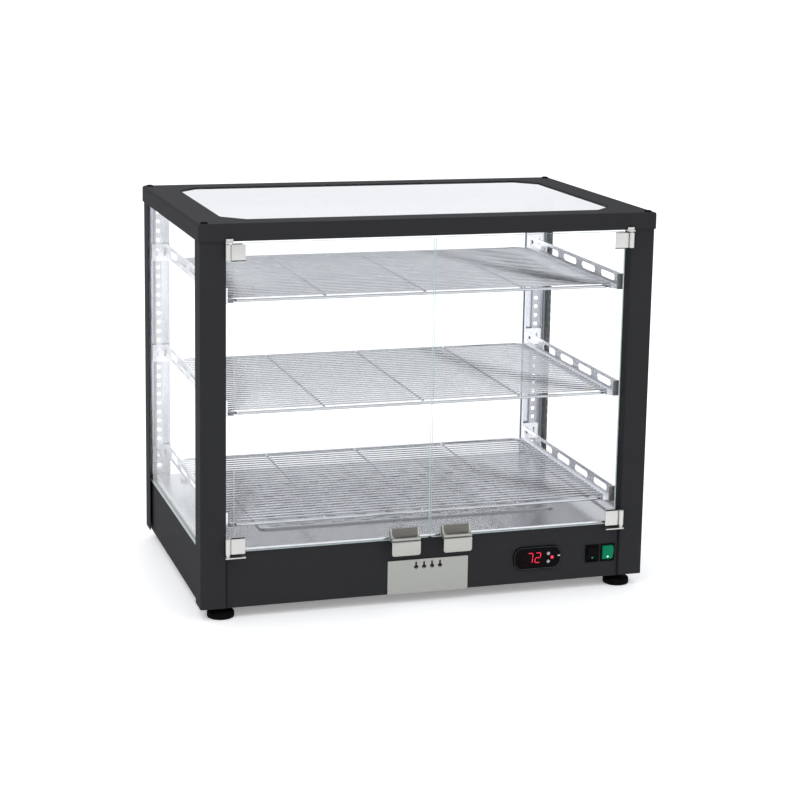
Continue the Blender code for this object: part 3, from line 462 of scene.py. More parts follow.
# %% [markdown]
# ## Dressing the solids
#
# Sheet metal and panes already have their true shape in the solid model, so they only need a finish.


# %% Give solids their finishes
def dress(finish, *names):
    for name in names:
        mesh = nodes[name].data
        mesh.materials.clear()
        mesh.materials.append(finish)


SIDES = ("left", "right")
LEVELS = ("top", "middle", "bottom")
dress(PAINT, *[f"post_{place}_{side}" for place in ("front", "rear") for side in SIDES])
dress(PAINT, "top_frame", "base_pan", "front_fascia", "rear_panel", "side_panel_left", "side_panel_right")
for pane, glass in GLASS.items():
    dress(glass, pane)
dress(DECK_STEEL, "deck_plate")
dress(UPRIGHT_STEEL, "upright_left", "upright_right")
dress(RAIL_STEEL, *[f"rail_{level}_{side}" for level in LEVELS for side in SIDES])
dress(STRIP_PLASTIC, "light_strip_left", "light_strip_right")
dress(DRAWER_STEEL, "drawer_front", "drawer_tank")
dress(HINGE_STEEL, *[f"hinge_bracket_{side}_{end}" for side in SIDES for end in ("lower", "upper")])
dress(DARK_PLASTIC, "fan_housing", "fan_rotor")
print("dressed the sheets and panes, with", len(bpy.data.materials), "finishes")

# %% [markdown]
# ## Surfaces from numpy
#
# Most small parts are a stack of outlines. A bezel, a foot, a button and a lamp are all rounded
# rectangles or circles whose size changes as they rise, so one function that joins outlines, and one
# that makes them, can build them all. Whole outlines are worked out at once as arrays.

# %% Outlines and lofts
AXES = {
    "front": np.array([(1, 0, 0), (0, 0, 1), (0, -1, 0)], float),
    "back": np.array([(-1, 0, 0), (0, 0, 1), (0, 1, 0)], float),
    "up": np.array([(1, 0, 0), (0, 1, 0), (0, 0, 1)], float),
    "right": np.array([(0, 1, 0), (0, 0, 1), (1, 0, 0)], float),
}


def rounded_outline(half_u, half_v, corner, level=0.0, steps=6):
    """A rounded rectangle: each corner's centre plus corner times (cos a, sin a) over a quarter turn."""
    turn = np.linspace(0, math.pi / 2, steps + 1)[None, :] + np.arange(4)[:, None] * math.pi / 2
    signs = np.array([(1, 1), (-1, 1), (-1, -1), (1, -1)], float)
    u = signs[:, :1] * (half_u - corner) + corner * np.cos(turn)
    v = signs[:, 1:] * (half_v - corner) + corner * np.sin(turn)
    return np.stack([u, v, np.full_like(u, level)], -1).reshape(-1, 3)


def loft(rings, around=False):
    """Joins outlines of equal length by quads. The ends are flat caps, or meet each other if around."""
    rings = np.asarray(rings, float)
    rows, count = rings.shape[:2]
    index = np.arange(rows * count).reshape(rows, count)
    turned = np.roll(index, -1, axis=1)
    last = rows if around else rows - 1
    above, above_turned = np.roll(index, -1, axis=0), np.roll(turned, -1, axis=0)
    quads = np.stack([index, turned, above_turned, above], -1)[:last].reshape(-1, 4).tolist()
    if not around:
        quads += [index[0, ::-1].tolist(), index[-1].tolist()]
    return rings.reshape(-1, 3), quads


def stand(shape, centre, facing):
    """Turns a shape drawn in (u, v, rise) so that it rises from a centre in a direction."""
    points, faces = shape
    return np.asarray(centre, float) + points @ AXES[facing], faces


def slab(centre, half, corner, depth, edge, facing, steps=6):
    """A rounded plate: inset = edge (1 - sin t), rise = edge (1 - cos t) at its foot, mirrored at its top."""
    t = np.linspace(0, math.pi / 2, 4)
    foot = [(edge * (1 - math.sin(a)), edge * (1 - math.cos(a))) for a in t]
    top = [(inset, depth - rise) for inset, rise in reversed(foot)]
    rings = [
        rounded_outline(half[0] - inset, half[1] - inset, max(corner - inset, 0.00005), rise, steps)
        for inset, rise in foot + top
    ]
    return stand(loft(rings), centre, facing)


def disc(centre, profile, facing, steps=8):
    """A turned piece: one circle for each (radius, rise) of its profile, foot first."""
    rings = [rounded_outline(radius, radius, radius, rise, steps) for radius, rise in profile]
    return stand(loft(rings), centre, facing)


def tube(path, radius, sides=12, around=False, flat=(0, 0, 1)):
    """Circles of one radius across a path in a plane: centre + r (cos a * side + sin a * normal)."""
    path = np.asarray(path, float)
    if around:
        along = np.roll(path, -1, axis=0) - np.roll(path, 1, axis=0)
    else:
        along = np.gradient(path, axis=0)
    along /= np.linalg.norm(along, axis=1, keepdims=True)
    side = np.cross(flat, along)
    angle = np.linspace(0, 2 * math.pi, sides, endpoint=False)[None, :, None]
    rings = path[:, None] + radius * (np.cos(angle) * side[:, None] + np.sin(angle) * np.array(flat, float))
    return loft(rings, around)


print("a test plate has", len(slab((0, 0, 0), (0.01, 0.01), 0.002, 0.003, 0.001, "up")[1]), "faces")

# %% [markdown]
# Each finished piece is one mesh. Its parts are joined, points that fall on each other are merged, and
# edges sharper than an angle are kept crisp while the rest is shaded smooth.


# %% Making a piece
def add_piece(name, parts, finish, body, instead_of=(), sharp=35.0):
    """Joins (points, faces) parts into one object that rides on a body."""
    points, faces, start = [], [], 0
    for part_points, part_faces in parts:
        points.append(part_points)
        faces += [[start + corner for corner in face] for face in part_faces]
        start += len(part_points)
    mesh = bpy.data.meshes.new(name)
    mesh.from_pydata(np.concatenate(points).tolist(), [], faces)
    bm = bmesh.new()
    bm.from_mesh(mesh)
    bmesh.ops.remove_doubles(bm, verts=bm.verts, dist=0.0000005)
    bm.to_mesh(mesh)
    bm.free()
    mesh.materials.append(finish)
    mesh.shade_smooth()
    mesh.set_sharp_from_angle(angle=math.radians(sharp))
    piece = bpy.data.objects.new(name, mesh)
    scene.collection.objects.link(piece)
    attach(piece, body)
    if instead_of:
        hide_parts(*instead_of)
    return piece


def middle(name):
    low, high = (np.array(corner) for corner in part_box(name))
    return (low + high) / 2, (high - low) / 2


print("pieces can be made")

# %% [markdown]
# ## Wire shelves
#
# Each shelf is a border wire bent round in one loop, three cross wires under it, and a row of fine
# wires welded on top about 14 mm apart, which carry the trays. The wires are tubes with twelve sides,
# and the border's path is a rounded rectangle.

# %% Wire shelves
FINE, CROSS, BORDER = 0.0014, 0.0020, 0.0025
WIRE_PITCH, CROSS_X, SHELF_CORNER = 0.0143, 0.171, 0.020

for level in LEVELS:
    centre, half = middle(f"wire_shelf_{level}")
    top = centre[2] + half[2]
    reach_x, reach_y = half[0] - BORDER, half[1] - BORDER
    low = top - FINE + 0.0005 - 0.0035
    loop = rounded_outline(reach_x, reach_y, SHELF_CORNER, low, 10) + (centre[0], centre[1], 0)
    parts = [tube(loop, BORDER, 14, around=True)]
    front, back = centre[1] - reach_y, centre[1] + reach_y
    for x in (-CROSS_X, 0.0, CROSS_X):
        parts.append(tube([(x, front, low + 0.0003), (x, back, low + 0.0003)], CROSS, 12))
    for y in np.arange(front + WIRE_PITCH, back - SHELF_CORNER, WIRE_PITCH):
        ends = np.array([-1.0, -0.9985, 0.9985, 1.0]) * (reach_x + 0.0005)
        droop = np.array([-0.0004, 0.0, 0.0, -0.0004])
        path = np.stack([ends, np.full(4, y), top - FINE + droop], -1)
        parts.append(tube(path, FINE, 10))
    shelf = add_piece(
        f"chrome_shelf_{level}", parts, CHROME, "case", [f"wire_shelf_{level}"], 50
    )
    print(shelf.name, len(shelf.data.polygons), "faces,", len(parts), "wires")

# %% [markdown]
# ## The vent plate
#
# Warm air rises through a pressed plate with hundreds of short slots, set like bricks. A boolean cut
# for each slot is slow and leaves long thin triangles. Instead the plate is laid from small tiles. A
# tile either is whole or holds one slot, whose outline is joined to the tile's edge. All tiles share
# the same edge points, so they merge into one sheet.

# %% Slotted tiles
VENT_LOW, VENT_HIGH = (np.array(corner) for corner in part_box("vent_plate"))
TILE_X, TILE_Y = 0.0259, 0.0092
SLOT_HALF_X, SLOT_HALF_Y = 0.0087, 0.0015
SHEET = 0.0012


def tile_edge():
    """Sixteen points round a tile of half size 1, four to a side, from the lower right corner on."""
    t = np.array([-1.0, -0.5, 0.0, 0.5])
    one = np.ones(4)
    pairs = ((one, t), (-t, one), (-one, -t), (t, -one))
    return np.concatenate([np.stack(pair, -1) for pair in pairs])


def slot_edge():
    """The slot's outline at the same sixteen directions: a stadium, |p - nearest of its middle line| = r."""
    ring = tile_edge() * (SLOT_HALF_X, SLOT_HALF_Y)
    core = SLOT_HALF_X - SLOT_HALF_Y
    nearest = np.stack([np.clip(ring[:, 0], -core, core), np.zeros(16)], -1)
    away = ring - nearest
    return nearest + SLOT_HALF_Y * away / np.linalg.norm(away, axis=1, keepdims=True)


def tiled_sheet(columns, rows, left, front, height):
    """Top skin, bottom skin and slot walls of a tiled plate, as points and faces."""
    edge = tile_edge() * (TILE_X / 2, TILE_Y / 2)
    hole = slot_edge()
    ring = np.arange(16)
    following = np.roll(ring, -1)
    points, faces, start = [], [], 0
    for row in range(rows):
        for column in range(columns):
            spot = np.array([left + (column + 0.5) * TILE_X, front + (row + 0.5) * TILE_Y])
            for z, flip in ((height, 1), (height - SHEET, -1)):
                outer = np.column_stack([edge + spot, np.full(16, z)])
                points.append(outer)
                if (row + column) % 2:
                    faces.append((start + ring)[::flip].tolist())
                    start += 16
                    continue
                points.append(np.column_stack([hole + spot, np.full(16, z)]))
                band = np.stack([ring, following, following + 16, ring + 16], -1) + start
                faces += band[:, ::flip].tolist()
                start += 32
            if (row + column) % 2 == 0:
                high, low = start - 48, start - 16
                wall = np.stack([ring + high, following + high, following + low, ring + low], -1)
                faces += wall.tolist()
    return np.concatenate(points), faces


COLUMNS, ROWS = 19, 33
SPAN_X, SPAN_Y = COLUMNS * TILE_X, ROWS * TILE_Y
left = (VENT_LOW[0] + VENT_HIGH[0] - SPAN_X) / 2
front = VENT_LOW[1] + 0.0035
sheet_tiles = tiled_sheet(COLUMNS, ROWS, left, front, VENT_HIGH[2])
print("tiles make", len(sheet_tiles[1]), "faces over", round(SPAN_X, 3), "by", round(SPAN_Y, 3))

# %% [markdown]
# The tiles cover a plain rectangle. A rim of rounded outlines goes on from there: flat to the plate's
# edge, round the fold, down to the deck and back underneath, so the plate is a closed thin shell.


# %% The plate's rim
def stepped_rectangle(half_x, half_y, corner, counts, z, middle_xy):
    """A rounded rectangle with evenly spaced points on its straight sides, and five at each corner."""
    counts_x, counts_y = counts
    x = np.linspace(1, -1, counts_x + 1)
    y = np.linspace(-1, 1, counts_y + 1)
    turn = np.linspace(0, math.pi / 2, 5)
    inner_x, inner_y = half_x - corner, half_y - corner
    pieces = [
        np.column_stack([np.full(y.size, half_x), y * inner_y]),
        np.column_stack([inner_x + corner * np.cos(turn), inner_y + corner * np.sin(turn)])[1:-1],
        np.column_stack([x * inner_x, np.full(x.size, half_y)]),
        np.column_stack([-inner_x - corner * np.sin(turn), inner_y + corner * np.cos(turn)])[1:-1],
        np.column_stack([np.full(y.size, -half_x), -y * inner_y]),
        np.column_stack([-inner_x - corner * np.cos(turn), -inner_y - corner * np.sin(turn)])[1:-1],
        np.column_stack([-x * inner_x, np.full(x.size, -half_y)]),
        np.column_stack([inner_x + corner * np.sin(turn), -inner_y - corner * np.cos(turn)])[1:-1],
    ]
    flat = np.concatenate(pieces) + middle_xy
    return np.column_stack([flat, np.full(len(flat), z)])


def plate_rim():
    """Rings from the tiled rectangle's edge out over the fold and back under it."""
    half_x, half_y = (VENT_HIGH[0] - VENT_LOW[0]) / 2, (VENT_HIGH[1] - VENT_LOW[1]) / 2
    outer_middle = (VENT_LOW[:2] + VENT_HIGH[:2]) / 2
    tile_middle = np.array([left + SPAN_X / 2, front + SPAN_Y / 2])
    counts = (COLUMNS * 4, ROWS * 4)
    top, foot = VENT_HIGH[2], VENT_LOW[2]

    def tiled(z):
        return stepped_rectangle(SPAN_X / 2, SPAN_Y / 2, 0.0, counts, z, tile_middle)

    def shaped(inset, z):
        return stepped_rectangle(half_x - inset, half_y - inset, 0.012 - inset, counts, z, outer_middle)

    rings = [tiled(top), shaped(0.0016, top), shaped(0.0006, top - 0.0003), shaped(0.0, top - 0.0010)]
    rings += [shaped(0.0, foot), shaped(SHEET, foot), shaped(SHEET, top - SHEET - 0.0004)]
    rings += [shaped(0.0020, top - SHEET), tiled(top - SHEET)]
    points, faces = loft(np.array(rings)[::-1])
    return points, faces[:-2]


vent = add_piece(
    "slotted_vent_plate", [sheet_tiles, plate_rim()], DECK_STEEL, "case", ["vent_plate"]
)
print(vent.name, len(vent.data.polygons), "faces")

# %% [markdown]
# ## Light strips
#
# A strip of small lamps runs up the face of each rear upright. Every lamp is a square pad of clear gel
# with a domed top. They all share one outline, so a whole strip stays light.

# %% Lamps on the strips
for side in SIDES:
    centre, half = middle(f"light_strip_{side}")
    face = centre[1] - half[1]
    lamps = [
        slab((centre[0], face + 0.0002, z), (0.0026, 0.0026), 0.0008, 0.0013, 0.0006, "front", 2)
        for z in np.arange(centre[2] - half[2] + 0.008, centre[2] + half[2] - 0.004, 0.0167)
    ]
    strip = add_piece(f"lamps_{side}", lamps, LAMP_GEL, "case")
    print(strip.name, len(lamps), "lamps")

# %% [markdown]
# ## Feet, lid plugs, probe and gland
#
# These are turned parts. A profile of radii and heights is enough for each of them.

# %% Turned parts
for place in ("front", "rear"):
    for side in SIDES:
        centre, half = middle(f"foot_{place}_{side}")
        top = centre[2] + half[2]
        radius = half[0]
        profile = [(radius - 0.0015, 0.0), (radius - 0.0004, 0.0005), (radius, 0.0018), (radius, 0.0075)]
        profile += [(radius - 0.0010, 0.0095), (radius - 0.0035, 0.0110), (0.0095, 0.0118)]
        profile += [(0.0082, 0.0128), (0.0080, top)]
        foot = add_piece(
            f"rubber_foot_{place}_{side}",
            [disc((centre[0], centre[1], 0), profile, "up", 12)],
            RUBBER,
            "case",
            [f"foot_{place}_{side}"],
        )

lid_low, lid_high = (np.array(corner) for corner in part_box("top_frame"))
plugs = []
for sx in (-1, 1):
    for sy in (-1, 1):
        spot = (sx * (lid_high[0] - 0.0115), sy * (lid_high[1] - 0.0135), lid_high[2] - 0.0004)
        profile = [(0.0064, 0.0), (0.0064, 0.0012), (0.0058, 0.0020), (0.0040, 0.0026), (0.0015, 0.0029)]
        plugs.append(disc(spot, profile, "up", 8))
add_piece("lid_plugs", plugs, RUBBER, "case")

centre, half = middle("temperature_probe")
foot_z = 0.1148
t = np.linspace(0, math.pi / 2, 8)[:-1]
dome = [(0.0066 * math.cos(a) + 0.0004, 0.0012 + 0.0074 * math.sin(a)) for a in t]
probe_profile = [(0.0030, 0.096 - foot_z), (0.0030, 0.0), (0.0070, 0.0), *dome]
add_piece(
    "probe_cap",
    [disc((centre[0], centre[1], foot_z), probe_profile, "up", 8)],
    CHROME,
    "case",
    ["temperature_probe"],
)

centre, half = middle("cable_gland")
low_y, high_y = centre[1] - half[1], centre[1] + half[1]


def gland_outline(radius, rise, flats=False):
    """A circle, or a hexagon nut's outline: radius over the cosine of the angle from the nearest flat."""
    angle = np.linspace(0, 2 * math.pi, 48, endpoint=False)
    reach = np.full(48, radius)
    if flats:
        reach = radius * math.cos(math.pi / 6) / np.cos((angle + math.pi / 6) % (math.pi / 3) - math.pi / 6)
    return np.column_stack([reach * np.cos(angle), reach * np.sin(angle), np.full(48, rise)])


length = high_y - low_y
wall = 0.242 - low_y
stack = [
    (0.0045, 0, 0),
    (0.0088, 0, 0),
    (0.0088, wall - 0.007, 0),
    (0.0120, wall - 0.007, 1),
    (0.0120, wall - 0.0018, 1),
    (0.0088, wall - 0.0018, 0),
    (0.0088, wall + 0.0003, 0),
    (0.0120, wall + 0.0003, 1),
    (0.0120, wall + 0.0086, 1),
    (0.0112, wall + 0.0092, 0),
    (0.0097, wall + 0.0092, 0),
    (0.0095, length - 0.004, 0),
    (0.0088, length - 0.0012, 0),
    (0.0075, length, 0),
    (0.0045, length, 0),
]
rings = [gland_outline(radius, rise, flats) for radius, rise, flats in stack]
gland = stand(loft(rings, around=True), (centre[0], low_y, centre[2]), "back")
add_piece("threaded_gland", [gland], DARK_PLASTIC, "case", ["cable_gland"])
print("turned parts are in place")

# %% [markdown]
# ## Hinge clips
#
# The doors are frameless, so each corner of the glass sits in a bent steel clip. The clip has a leaf
# in front of the glass and a leaf behind it, and its outer end is rolled round the hinge pin.

# %% Hinge clips
PIN_X, PIN_Y, LEAF_FRONT, LEAF_BACK = 0.3435, -0.2530, -0.2530, -0.2445
LEAF_INNER, LEAF_OUTER = 0.315, 0.3384

for side, sign in (("left", -1), ("right", 1)):
    for end in ("lower", "upper"):
        name = f"hinge_clip_{side}_{end}"
        low, high = (np.array(corner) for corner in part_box(name))
        z0, tall = low[2], high[2] - low[2]
        centre_z = z0 + tall / 2
        bore = [(0.0022, 0.0), (0.0041, 0.0), (0.0045, 0.0004), (0.0045, tall - 0.0004), (0.0041, tall)]
        bore.append((0.0022, tall))
        rings = [rounded_outline(radius, radius, radius, rise, 8) for radius, rise in bore]
        parts = [stand(loft(rings, around=True), (sign * PIN_X, PIN_Y, z0), "up")]
        leaf = (sign * (LEAF_INNER + LEAF_OUTER) / 2, LEAF_FRONT + 0.0014, centre_z - 0.0004)
        leaf_half = ((LEAF_OUTER - LEAF_INNER) / 2, tall / 2 - 0.0004)
        parts.append(slab(leaf, leaf_half, 0.0016, 0.0014, 0.0005, "front"))
        web = (sign * 0.3348, LEAF_BACK, centre_z)
        parts.append(slab(web, (0.0011, tall / 2 - 0.0006), 0.0005, 0.0080, 0.0003, "front", 2))
        arm = (sign * 0.3378, LEAF_FRONT + 0.0038, centre_z)
        parts.append(slab(arm, (0.0028, tall / 2 - 0.0010), 0.0003, 0.0012, 0.0002, "front", 2))
        back = (sign * 0.3270, LEAF_BACK, centre_z)
        parts.append(slab(back, (0.0088, tall / 2), 0.0012, 0.0013, 0.0004, "front"))
        if end == "lower":
            cup = (sign * 0.3255, (LEAF_FRONT - 0.2448) / 2, z0)
            cup_half = (0.0070, (-0.2448 - LEAF_FRONT) / 2 - 0.0004)
            parts.append(slab(cup, cup_half, 0.0006, 0.0030, 0.0003, "up"))
        add_piece(f"door_clip_{side}_{end}", parts, HINGE_STEEL, f"door_{side}", [name])
        # A thin black strip runs along the edge where the glass comes out of the clip.
        lip_z = high[2] + 0.0002 if end == "lower" else low[2] - 0.0006
        lip = (sign * (LEAF_INNER + LEAF_OUTER) / 2, LEAF_FRONT + 0.0016, lip_z)
        strip = slab(lip, ((LEAF_OUTER - LEAF_INNER) / 2, 0.0007), 0.0003, 0.0014, 0.0002, "front", 2)
        add_piece(f"clip_edge_strip_{side}_{end}", [strip], GASKET_AND_SHADE, f"door_{side}")
print("four clips are in place")

# %% [markdown]
# ## Door handles
#
# Each handle is one strip of steel, bent several times. It hooks over the lower edge of the glass,
# drops into a flat grip plate, and its upper lip is pressed into a hollow for the fingertips. A strip
# is a narrow rounded section carried along a bent path. At the ends of the path the strip gets
# narrower along a quarter circle, which rounds the corners of the plate.


# %% Bent strips
def smooth_path(corners, radius, steps=5):
    """Rounds each inner corner of a path with a quadratic curve (1-t)^2 a + 2t(1-t) b + t^2 c."""
    corners = np.asarray(corners, float)
    done = [corners[:1]]
    t = np.linspace(0, 1, steps)[:, None]
    for before, at, after in zip(corners, corners[1:], corners[2:]):
        reach = min(radius, np.linalg.norm(at - before) / 2, np.linalg.norm(after - at) / 2)
        a = at + (before - at) * reach / np.linalg.norm(before - at)
        c = at + (after - at) * reach / np.linalg.norm(after - at)
        done.append((1 - t) ** 2 * a + 2 * t * (1 - t) * at + t**2 * c)
    done.append(corners[-1:])
    return np.concatenate(done)


def bent_strip(path, centre_x, half_width, thickness, round_end=0.0):
    """A flat strip along a (y, z) path: at each point a thin rounded rectangle across the path.

    Over the last r of the path the strip narrows by r (1 - cos a) while a runs over a quarter turn.
    """
    inset = np.zeros(len(path))
    if round_end:
        angle = np.linspace(0, math.pi / 2, 7)
        along = (path[-1] - path[-2]) / np.linalg.norm(path[-1] - path[-2])
        tip = path[-1] - np.outer(round_end * (1 - np.sin(angle)), along)
        keep = path[np.linalg.norm(path - path[-1], axis=1) > round_end]
        path = np.concatenate([keep, tip])
        inset = np.concatenate([np.zeros(len(keep)), round_end * (1 - np.cos(angle))])
    along = np.gradient(path, axis=0)
    along /= np.linalg.norm(along, axis=1, keepdims=True)
    normal = np.column_stack([along[:, 1], -along[:, 0]])
    rings = []
    for (y, z), (ny, nz), narrow in zip(path, normal, inset):
        outline = rounded_outline(half_width - narrow, thickness / 2, thickness * 0.3, 0.0, 3)
        ring = np.column_stack([centre_x + outline[:, 0], y + outline[:, 1] * ny, z + outline[:, 1] * nz])
        rings.append(ring)
    return loft(rings)


print("a strip can be bent")

# %% Door handles
for side, sign in (("left", -1), ("right", 1)):
    low, high = (np.array(corner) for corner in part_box(f"handle_{side}"))
    centre_x, half_width = (low[0] + high[0]) / 2, (high[0] - low[0]) / 2
    grip = low[1] + 0.0007
    hook = smooth_path([(-0.2453, 0.130), (-0.2453, 0.1134), (grip, 0.1134), (grip, 0.0900)], 0.0020)
    lip = smooth_path([(-0.2523, 0.1340), (-0.2527, 0.1270), (-0.2570, 0.1205), (-0.2640, 0.1185)], 0.006, 7)
    corners = [(-0.2640, 0.1185), (grip, 0.1178), (-0.2636, 0.1160), (-0.2606, 0.1158), (-0.2600, 0.1140)]
    nose = smooth_path(corners, 0.0012, 4)
    parts = [
        bent_strip(hook, centre_x, half_width, 0.0014, 0.004),
        bent_strip(np.concatenate([lip, nose[1:]]), centre_x, half_width, 0.0014),
    ]
    name = f"bent_handle_{side}"
    handle = add_piece(name, parts, HANDLE_STEEL, f"door_{side}", [f"handle_{side}"], 60)
    print(handle.name, len(handle.data.polygons), "faces")

# %% [markdown]
# ## The thermostat
#
# A panel thermostat is a black moulding clipped into a cut-out. Its face has a raised rim, a smoked
# lens over the digits, two grey keys and a red one. Digits made of seven bars are generic, and each bar
# is a hexagonal slab under the lens's front plane.

# %% Thermostat body, lens and keys
T_LOW, T_HIGH = (np.array(corner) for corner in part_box("thermostat"))
T_X, T_Z = (T_LOW[0] + T_HIGH[0]) / 2, (T_LOW[2] + T_HIGH[2]) / 2
T_FACE, T_WALL = T_LOW[1], -0.2423
HALF_X, HALF_Z = (T_HIGH[0] - T_LOW[0]) / 2, (T_HIGH[2] - T_LOW[2]) / 2


def rim_ring(half, corner, width, rise, foot):
    """A raised rim: rounded outlines go up its outside, over a round top and down its inside."""
    t = np.linspace(0, math.pi, 7)
    outlines = [(0.0, foot)]
    outlines += [(width / 2 * (1 - math.cos(a)), rise - width / 2 * (1 - math.sin(a))) for a in t]
    outlines += [(width, foot)]
    rings = [rounded_outline(half[0] - i, half[1] - i, corner - i, z, 10) for i, z in outlines]
    return loft(rings, around=True)


depth = T_WALL - T_FACE
parts = [slab((T_X, T_WALL, T_Z), (HALF_X, HALF_Z), 0.0155, depth - 0.0006, 0.0012, "front", 10)]
raised = rim_ring((HALF_X - 0.0004, HALF_Z - 0.0004), 0.0151, 0.0016, depth, 0.001)
parts.append(stand(raised, (T_X, T_WALL, T_Z), "front"))
parts.append(slab((T_X, T_HIGH[1], T_Z), (0.038, 0.016), 0.002, T_HIGH[1] + 0.2430, 0.0008, "front", 4))
housing = add_piece("thermostat_moulding", parts, BEZEL_PLASTIC, "case", ["thermostat"])

lens_x = T_X - 0.0065
lens = slab((lens_x, T_WALL - depth + 0.0009, T_Z), (0.0195, 0.0125), 0.0015, 0.0007, 0.0003, "front", 4)
add_piece("display_lens", [lens], SMOKED_LENS, "case")

for name, finish, radius in (("up", GREY_KEY, 0.0022), ("down", GREY_KEY, 0.0022), ("set", RED_KEY, 0.0029)):
    centre, half = middle(f"button_{name}")
    back = centre[1] + half[1]
    length = 2 * half[1]
    profile = [(half[0], 0.0), (half[0], length - 0.0007)]
    profile += [(half[0] - 0.0003, length - 0.0002), (radius * 0.6, length)]
    key = disc((centre[0], back, centre[2]), profile, "front", 6)
    slot = "red_plastic" if name == "set" else "black_plastic"
    add_piece(f"key_{name}", [key], finish, f"button_{name}", [f"button_{name}"])
spot = (T_X + HALF_X - 0.0040, T_FACE + 0.0012, T_Z + 0.0015)
notch = slab(spot, (0.0022, 0.0008), 0.0004, 0.0012, 0.0003, "front", 3)
add_piece("bezel_mark", [notch], WHITE_MARK, "case")
# Painted highlight: a thin ring of lighter grey plastic round the bezel's face stands in for the shine along
# its rim.
rim = rim_ring((HALF_X - 0.0012, HALF_Z - 0.0012), 0.0143, 0.0006, depth + 0.0002, depth - 0.0006)
add_piece("bezel_rim_highlight", [stand(rim, (T_X, T_WALL, T_Z), "front")], RIM_HIGHLIGHT_PLASTIC, "case")
print("thermostat face at y =", round(float(T_FACE), 4))

# %% Seven-bar digits
BARS = {
    "a": (0.0, 1.0, 0),
    "b": (1.0, 0.5, 1),
    "c": (1.0, -0.5, 1),
    "d": (0.0, -1.0, 0),
    "e": (-1.0, -0.5, 1),
    "f": (-1.0, 0.5, 1),
    "g": (0.0, 0.0, 0),
}
LIT = {"7": "abc", "2": "abged"}


def bar(centre_u, centre_v, long, thick, upright):
    """A bar with pointed ends: six corners, raised by 0.2 mm, leaning by a tenth of its height."""
    h, w = long / 2, thick / 2
    outline = np.array([(-h, 0), (-h + w, -w), (h - w, -w), (h, 0), (h - w, w), (-h + w, w)])
    if upright:
        outline = np.column_stack([-outline[:, 1], outline[:, 0]])
    flat = outline + (centre_u, centre_v)
    flat[:, 0] += 0.10 * flat[:, 1]
    return loft([np.column_stack([flat, np.full(6, rise)]) for rise in (0.0, 0.0002)])


bars = []
for digit, shift in (("7", -0.0070), ("2", 0.0070)):
    for letter in LIT[digit]:
        u, v, upright = BARS[letter]
        shape = bar(0.0045 * u, 0.0085 * v, 0.0078, 0.0013, upright)
        bars.append(stand(shape, (lens_x + shift, T_FACE + 0.00025, T_Z + 0.0004), "front"))
add_piece("digits", bars, RED_DIGIT, "case")
print("digits use", len(bars), "bars")

# %% [markdown]
# ## Rocker switches
#
# A rocker switch is a black tub that snaps into the fascia, with a rocker on a cross axis. The tub is
# a loft that goes up its outside, over its flange and down into the well. The rocker is a ridge
# outline carried along the axis, a little smaller at both ends so that its edges are soft.

# %% Switches
ROCKER_AXIS_Y = -0.2410
ROCKER_CORNERS = [
    (-0.00605, -0.0034),
    (0.0, -0.0054),
    (0.0121, -0.0014),
    (0.0121, 0.0040),
    (0.0046, 0.0074),
    (-0.0121, 0.0024),
    (-0.0121, -0.0014),
    (-0.00605, -0.0034),
]
ROCKER_ENDS = [(-0.0096, 0.94), (-0.0093, 0.985), (-0.0088, 1.0)]
ROCKER_ENDS += [(0.0088, 1.0), (0.0093, 0.985), (0.0096, 0.94)]
ROCKER_LOOKS = {
    "power": (DARK_PLASTIC, "black_plastic", GREEN_DOT),
    "light": (GREEN_ROCKER, "green_plastic", GREEN_LAMP),
}

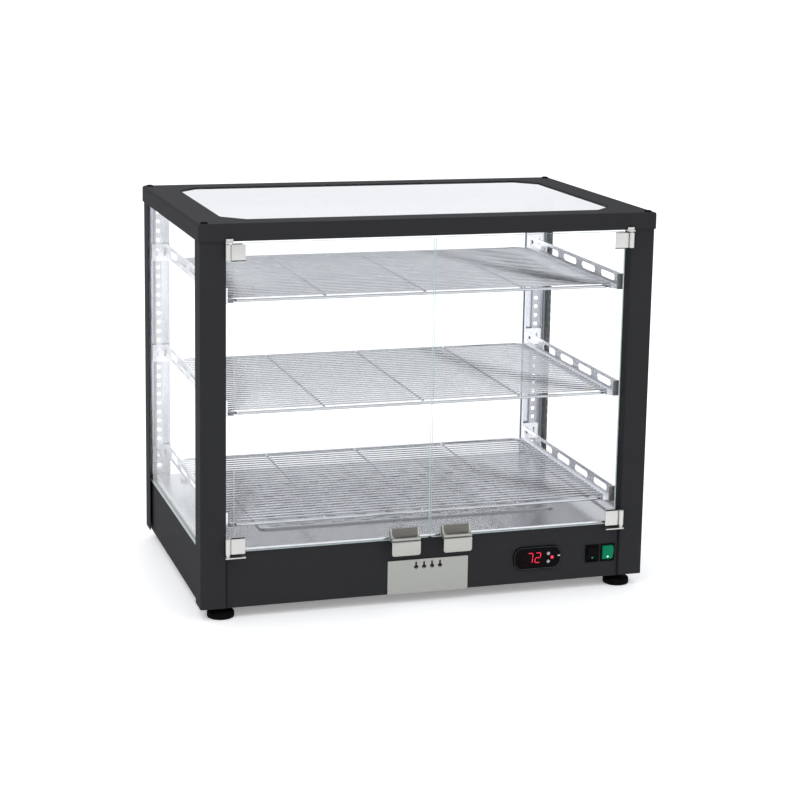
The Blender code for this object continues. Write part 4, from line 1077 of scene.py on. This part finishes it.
for name in ("power", "light"):
    low, high = (np.array(corner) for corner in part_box(f"switch_frame_{name}"))
    x, z = (low[0] + high[0]) / 2, (low[2] + high[2]) / 2
    back, face = high[1], low[1]
    outer = ((high[0] - low[0]) / 2, (high[2] - low[2]) / 2)
    body = (outer[0] - 0.0018, outer[1] - 0.0018)
    well = (outer[0] - 0.0026, outer[1] - 0.0026)
    flange, front_rise = back + 0.2423, back - face
    steps = [(body, 0.0, 0.0), (body, 0.0, flange), (outer, 0.0, flange), (outer, 0.0, front_rise - 0.0006)]
    steps += [(outer, 0.0002, front_rise - 0.0002), (outer, 0.0006, front_rise)]
    steps += [(well, -0.0005, front_rise), (well, 0.0, front_rise - 0.0005), (well, 0.0, front_rise - 0.010)]
    rings = [rounded_outline(u - inset, v - inset, 0.0010, rise, 4) for (u, v), inset, rise in steps]
    tub = stand(loft(rings), (x, back, z), "front")
    add_piece(f"switch_tub_{name}", [tub], DARK_PLASTIC, "case", [f"switch_frame_{name}"])

    closed = smooth_path(ROCKER_CORNERS, 0.0012, 5)[:-1]
    rings = []
    for along, grow in ROCKER_ENDS:
        outline = grow * closed
        rings.append(np.column_stack([-outline[:, 1], outline[:, 0], np.full(len(closed), along)]))
    points, faces = loft(rings)
    cap = np.column_stack([x + points[:, 2], ROCKER_AXIS_Y + points[:, 0], z + points[:, 1]])
    finish, slot, lamp = ROCKER_LOOKS[name]
    add_piece(f"rocker_cap_{name}", [(cap, faces)], finish, f"rocker_{name}", [f"rocker_{name}"], 40)
    place = (x, ROCKER_AXIS_Y - 0.0034, z - 0.0072)
    spot = disc(place, [(0.0015, 0.0), (0.0015, 0.0008), (0.0010, 0.0011)], "front", 5)
    add_piece(f"rocker_spot_{name}", [spot], lamp, f"rocker_{name}")
print("two switches are in place")

# %% [markdown]
# ## Last details
#
# The element under the vent plate only needs its heat tint. Thin gaskets line the panes where they
# meet the posts, a thin black strip of painted shade fills the gap between the fascia and each post,
# and dome-headed screws hold the rear panel. A polished edge finishes the cabin floor behind the doors.

# %% Heater, gaskets and screws
dress(SHEATH, "heater_element")

screws = []
for x in (-0.330, -0.110, 0.110, 0.330):
    for z in (0.030, 0.100):
        profile = [(0.0040, 0.0), (0.0040, 0.0006), (0.0034, 0.0015), (0.0020, 0.0021), (0.0006, 0.0023)]
        screws.append(disc((x, 0.2419, z), profile, "back", 5))
add_piece("rear_screws", screws, CHROME, "case")

strips = []
for sign in (-1, 1):
    for y in (-0.2225, 0.2225):
        strips.append(slab((sign * 0.3849, y, 0.378), (0.0045, 0.262), 0.0008, 0.0010, 0.0003, "right", 2))
add_piece("pane_gaskets", strips, GASKET_AND_SHADE, "case")
# Painted shade: a thin black strip stands in the gap between the fascia and each post, where shade falls.
shade_strips = []
for x in (-0.3440, 0.3440):
    shade_strips.append(slab((x, -0.2422, 0.0655), (0.0006, 0.0465), 0.0002, 0.0024, 0.0002, "front", 2))
add_piece("fascia_shade_strips", shade_strips, GASKET_AND_SHADE, "case")
threshold = slab((0.0, -0.23935, 0.1140), (0.3430, 0.00085), 0.0004, 0.0026, 0.0005, "up", 2)
add_piece("deck_threshold", [threshold], RAIL_STEEL, "case")
print("details are in place")
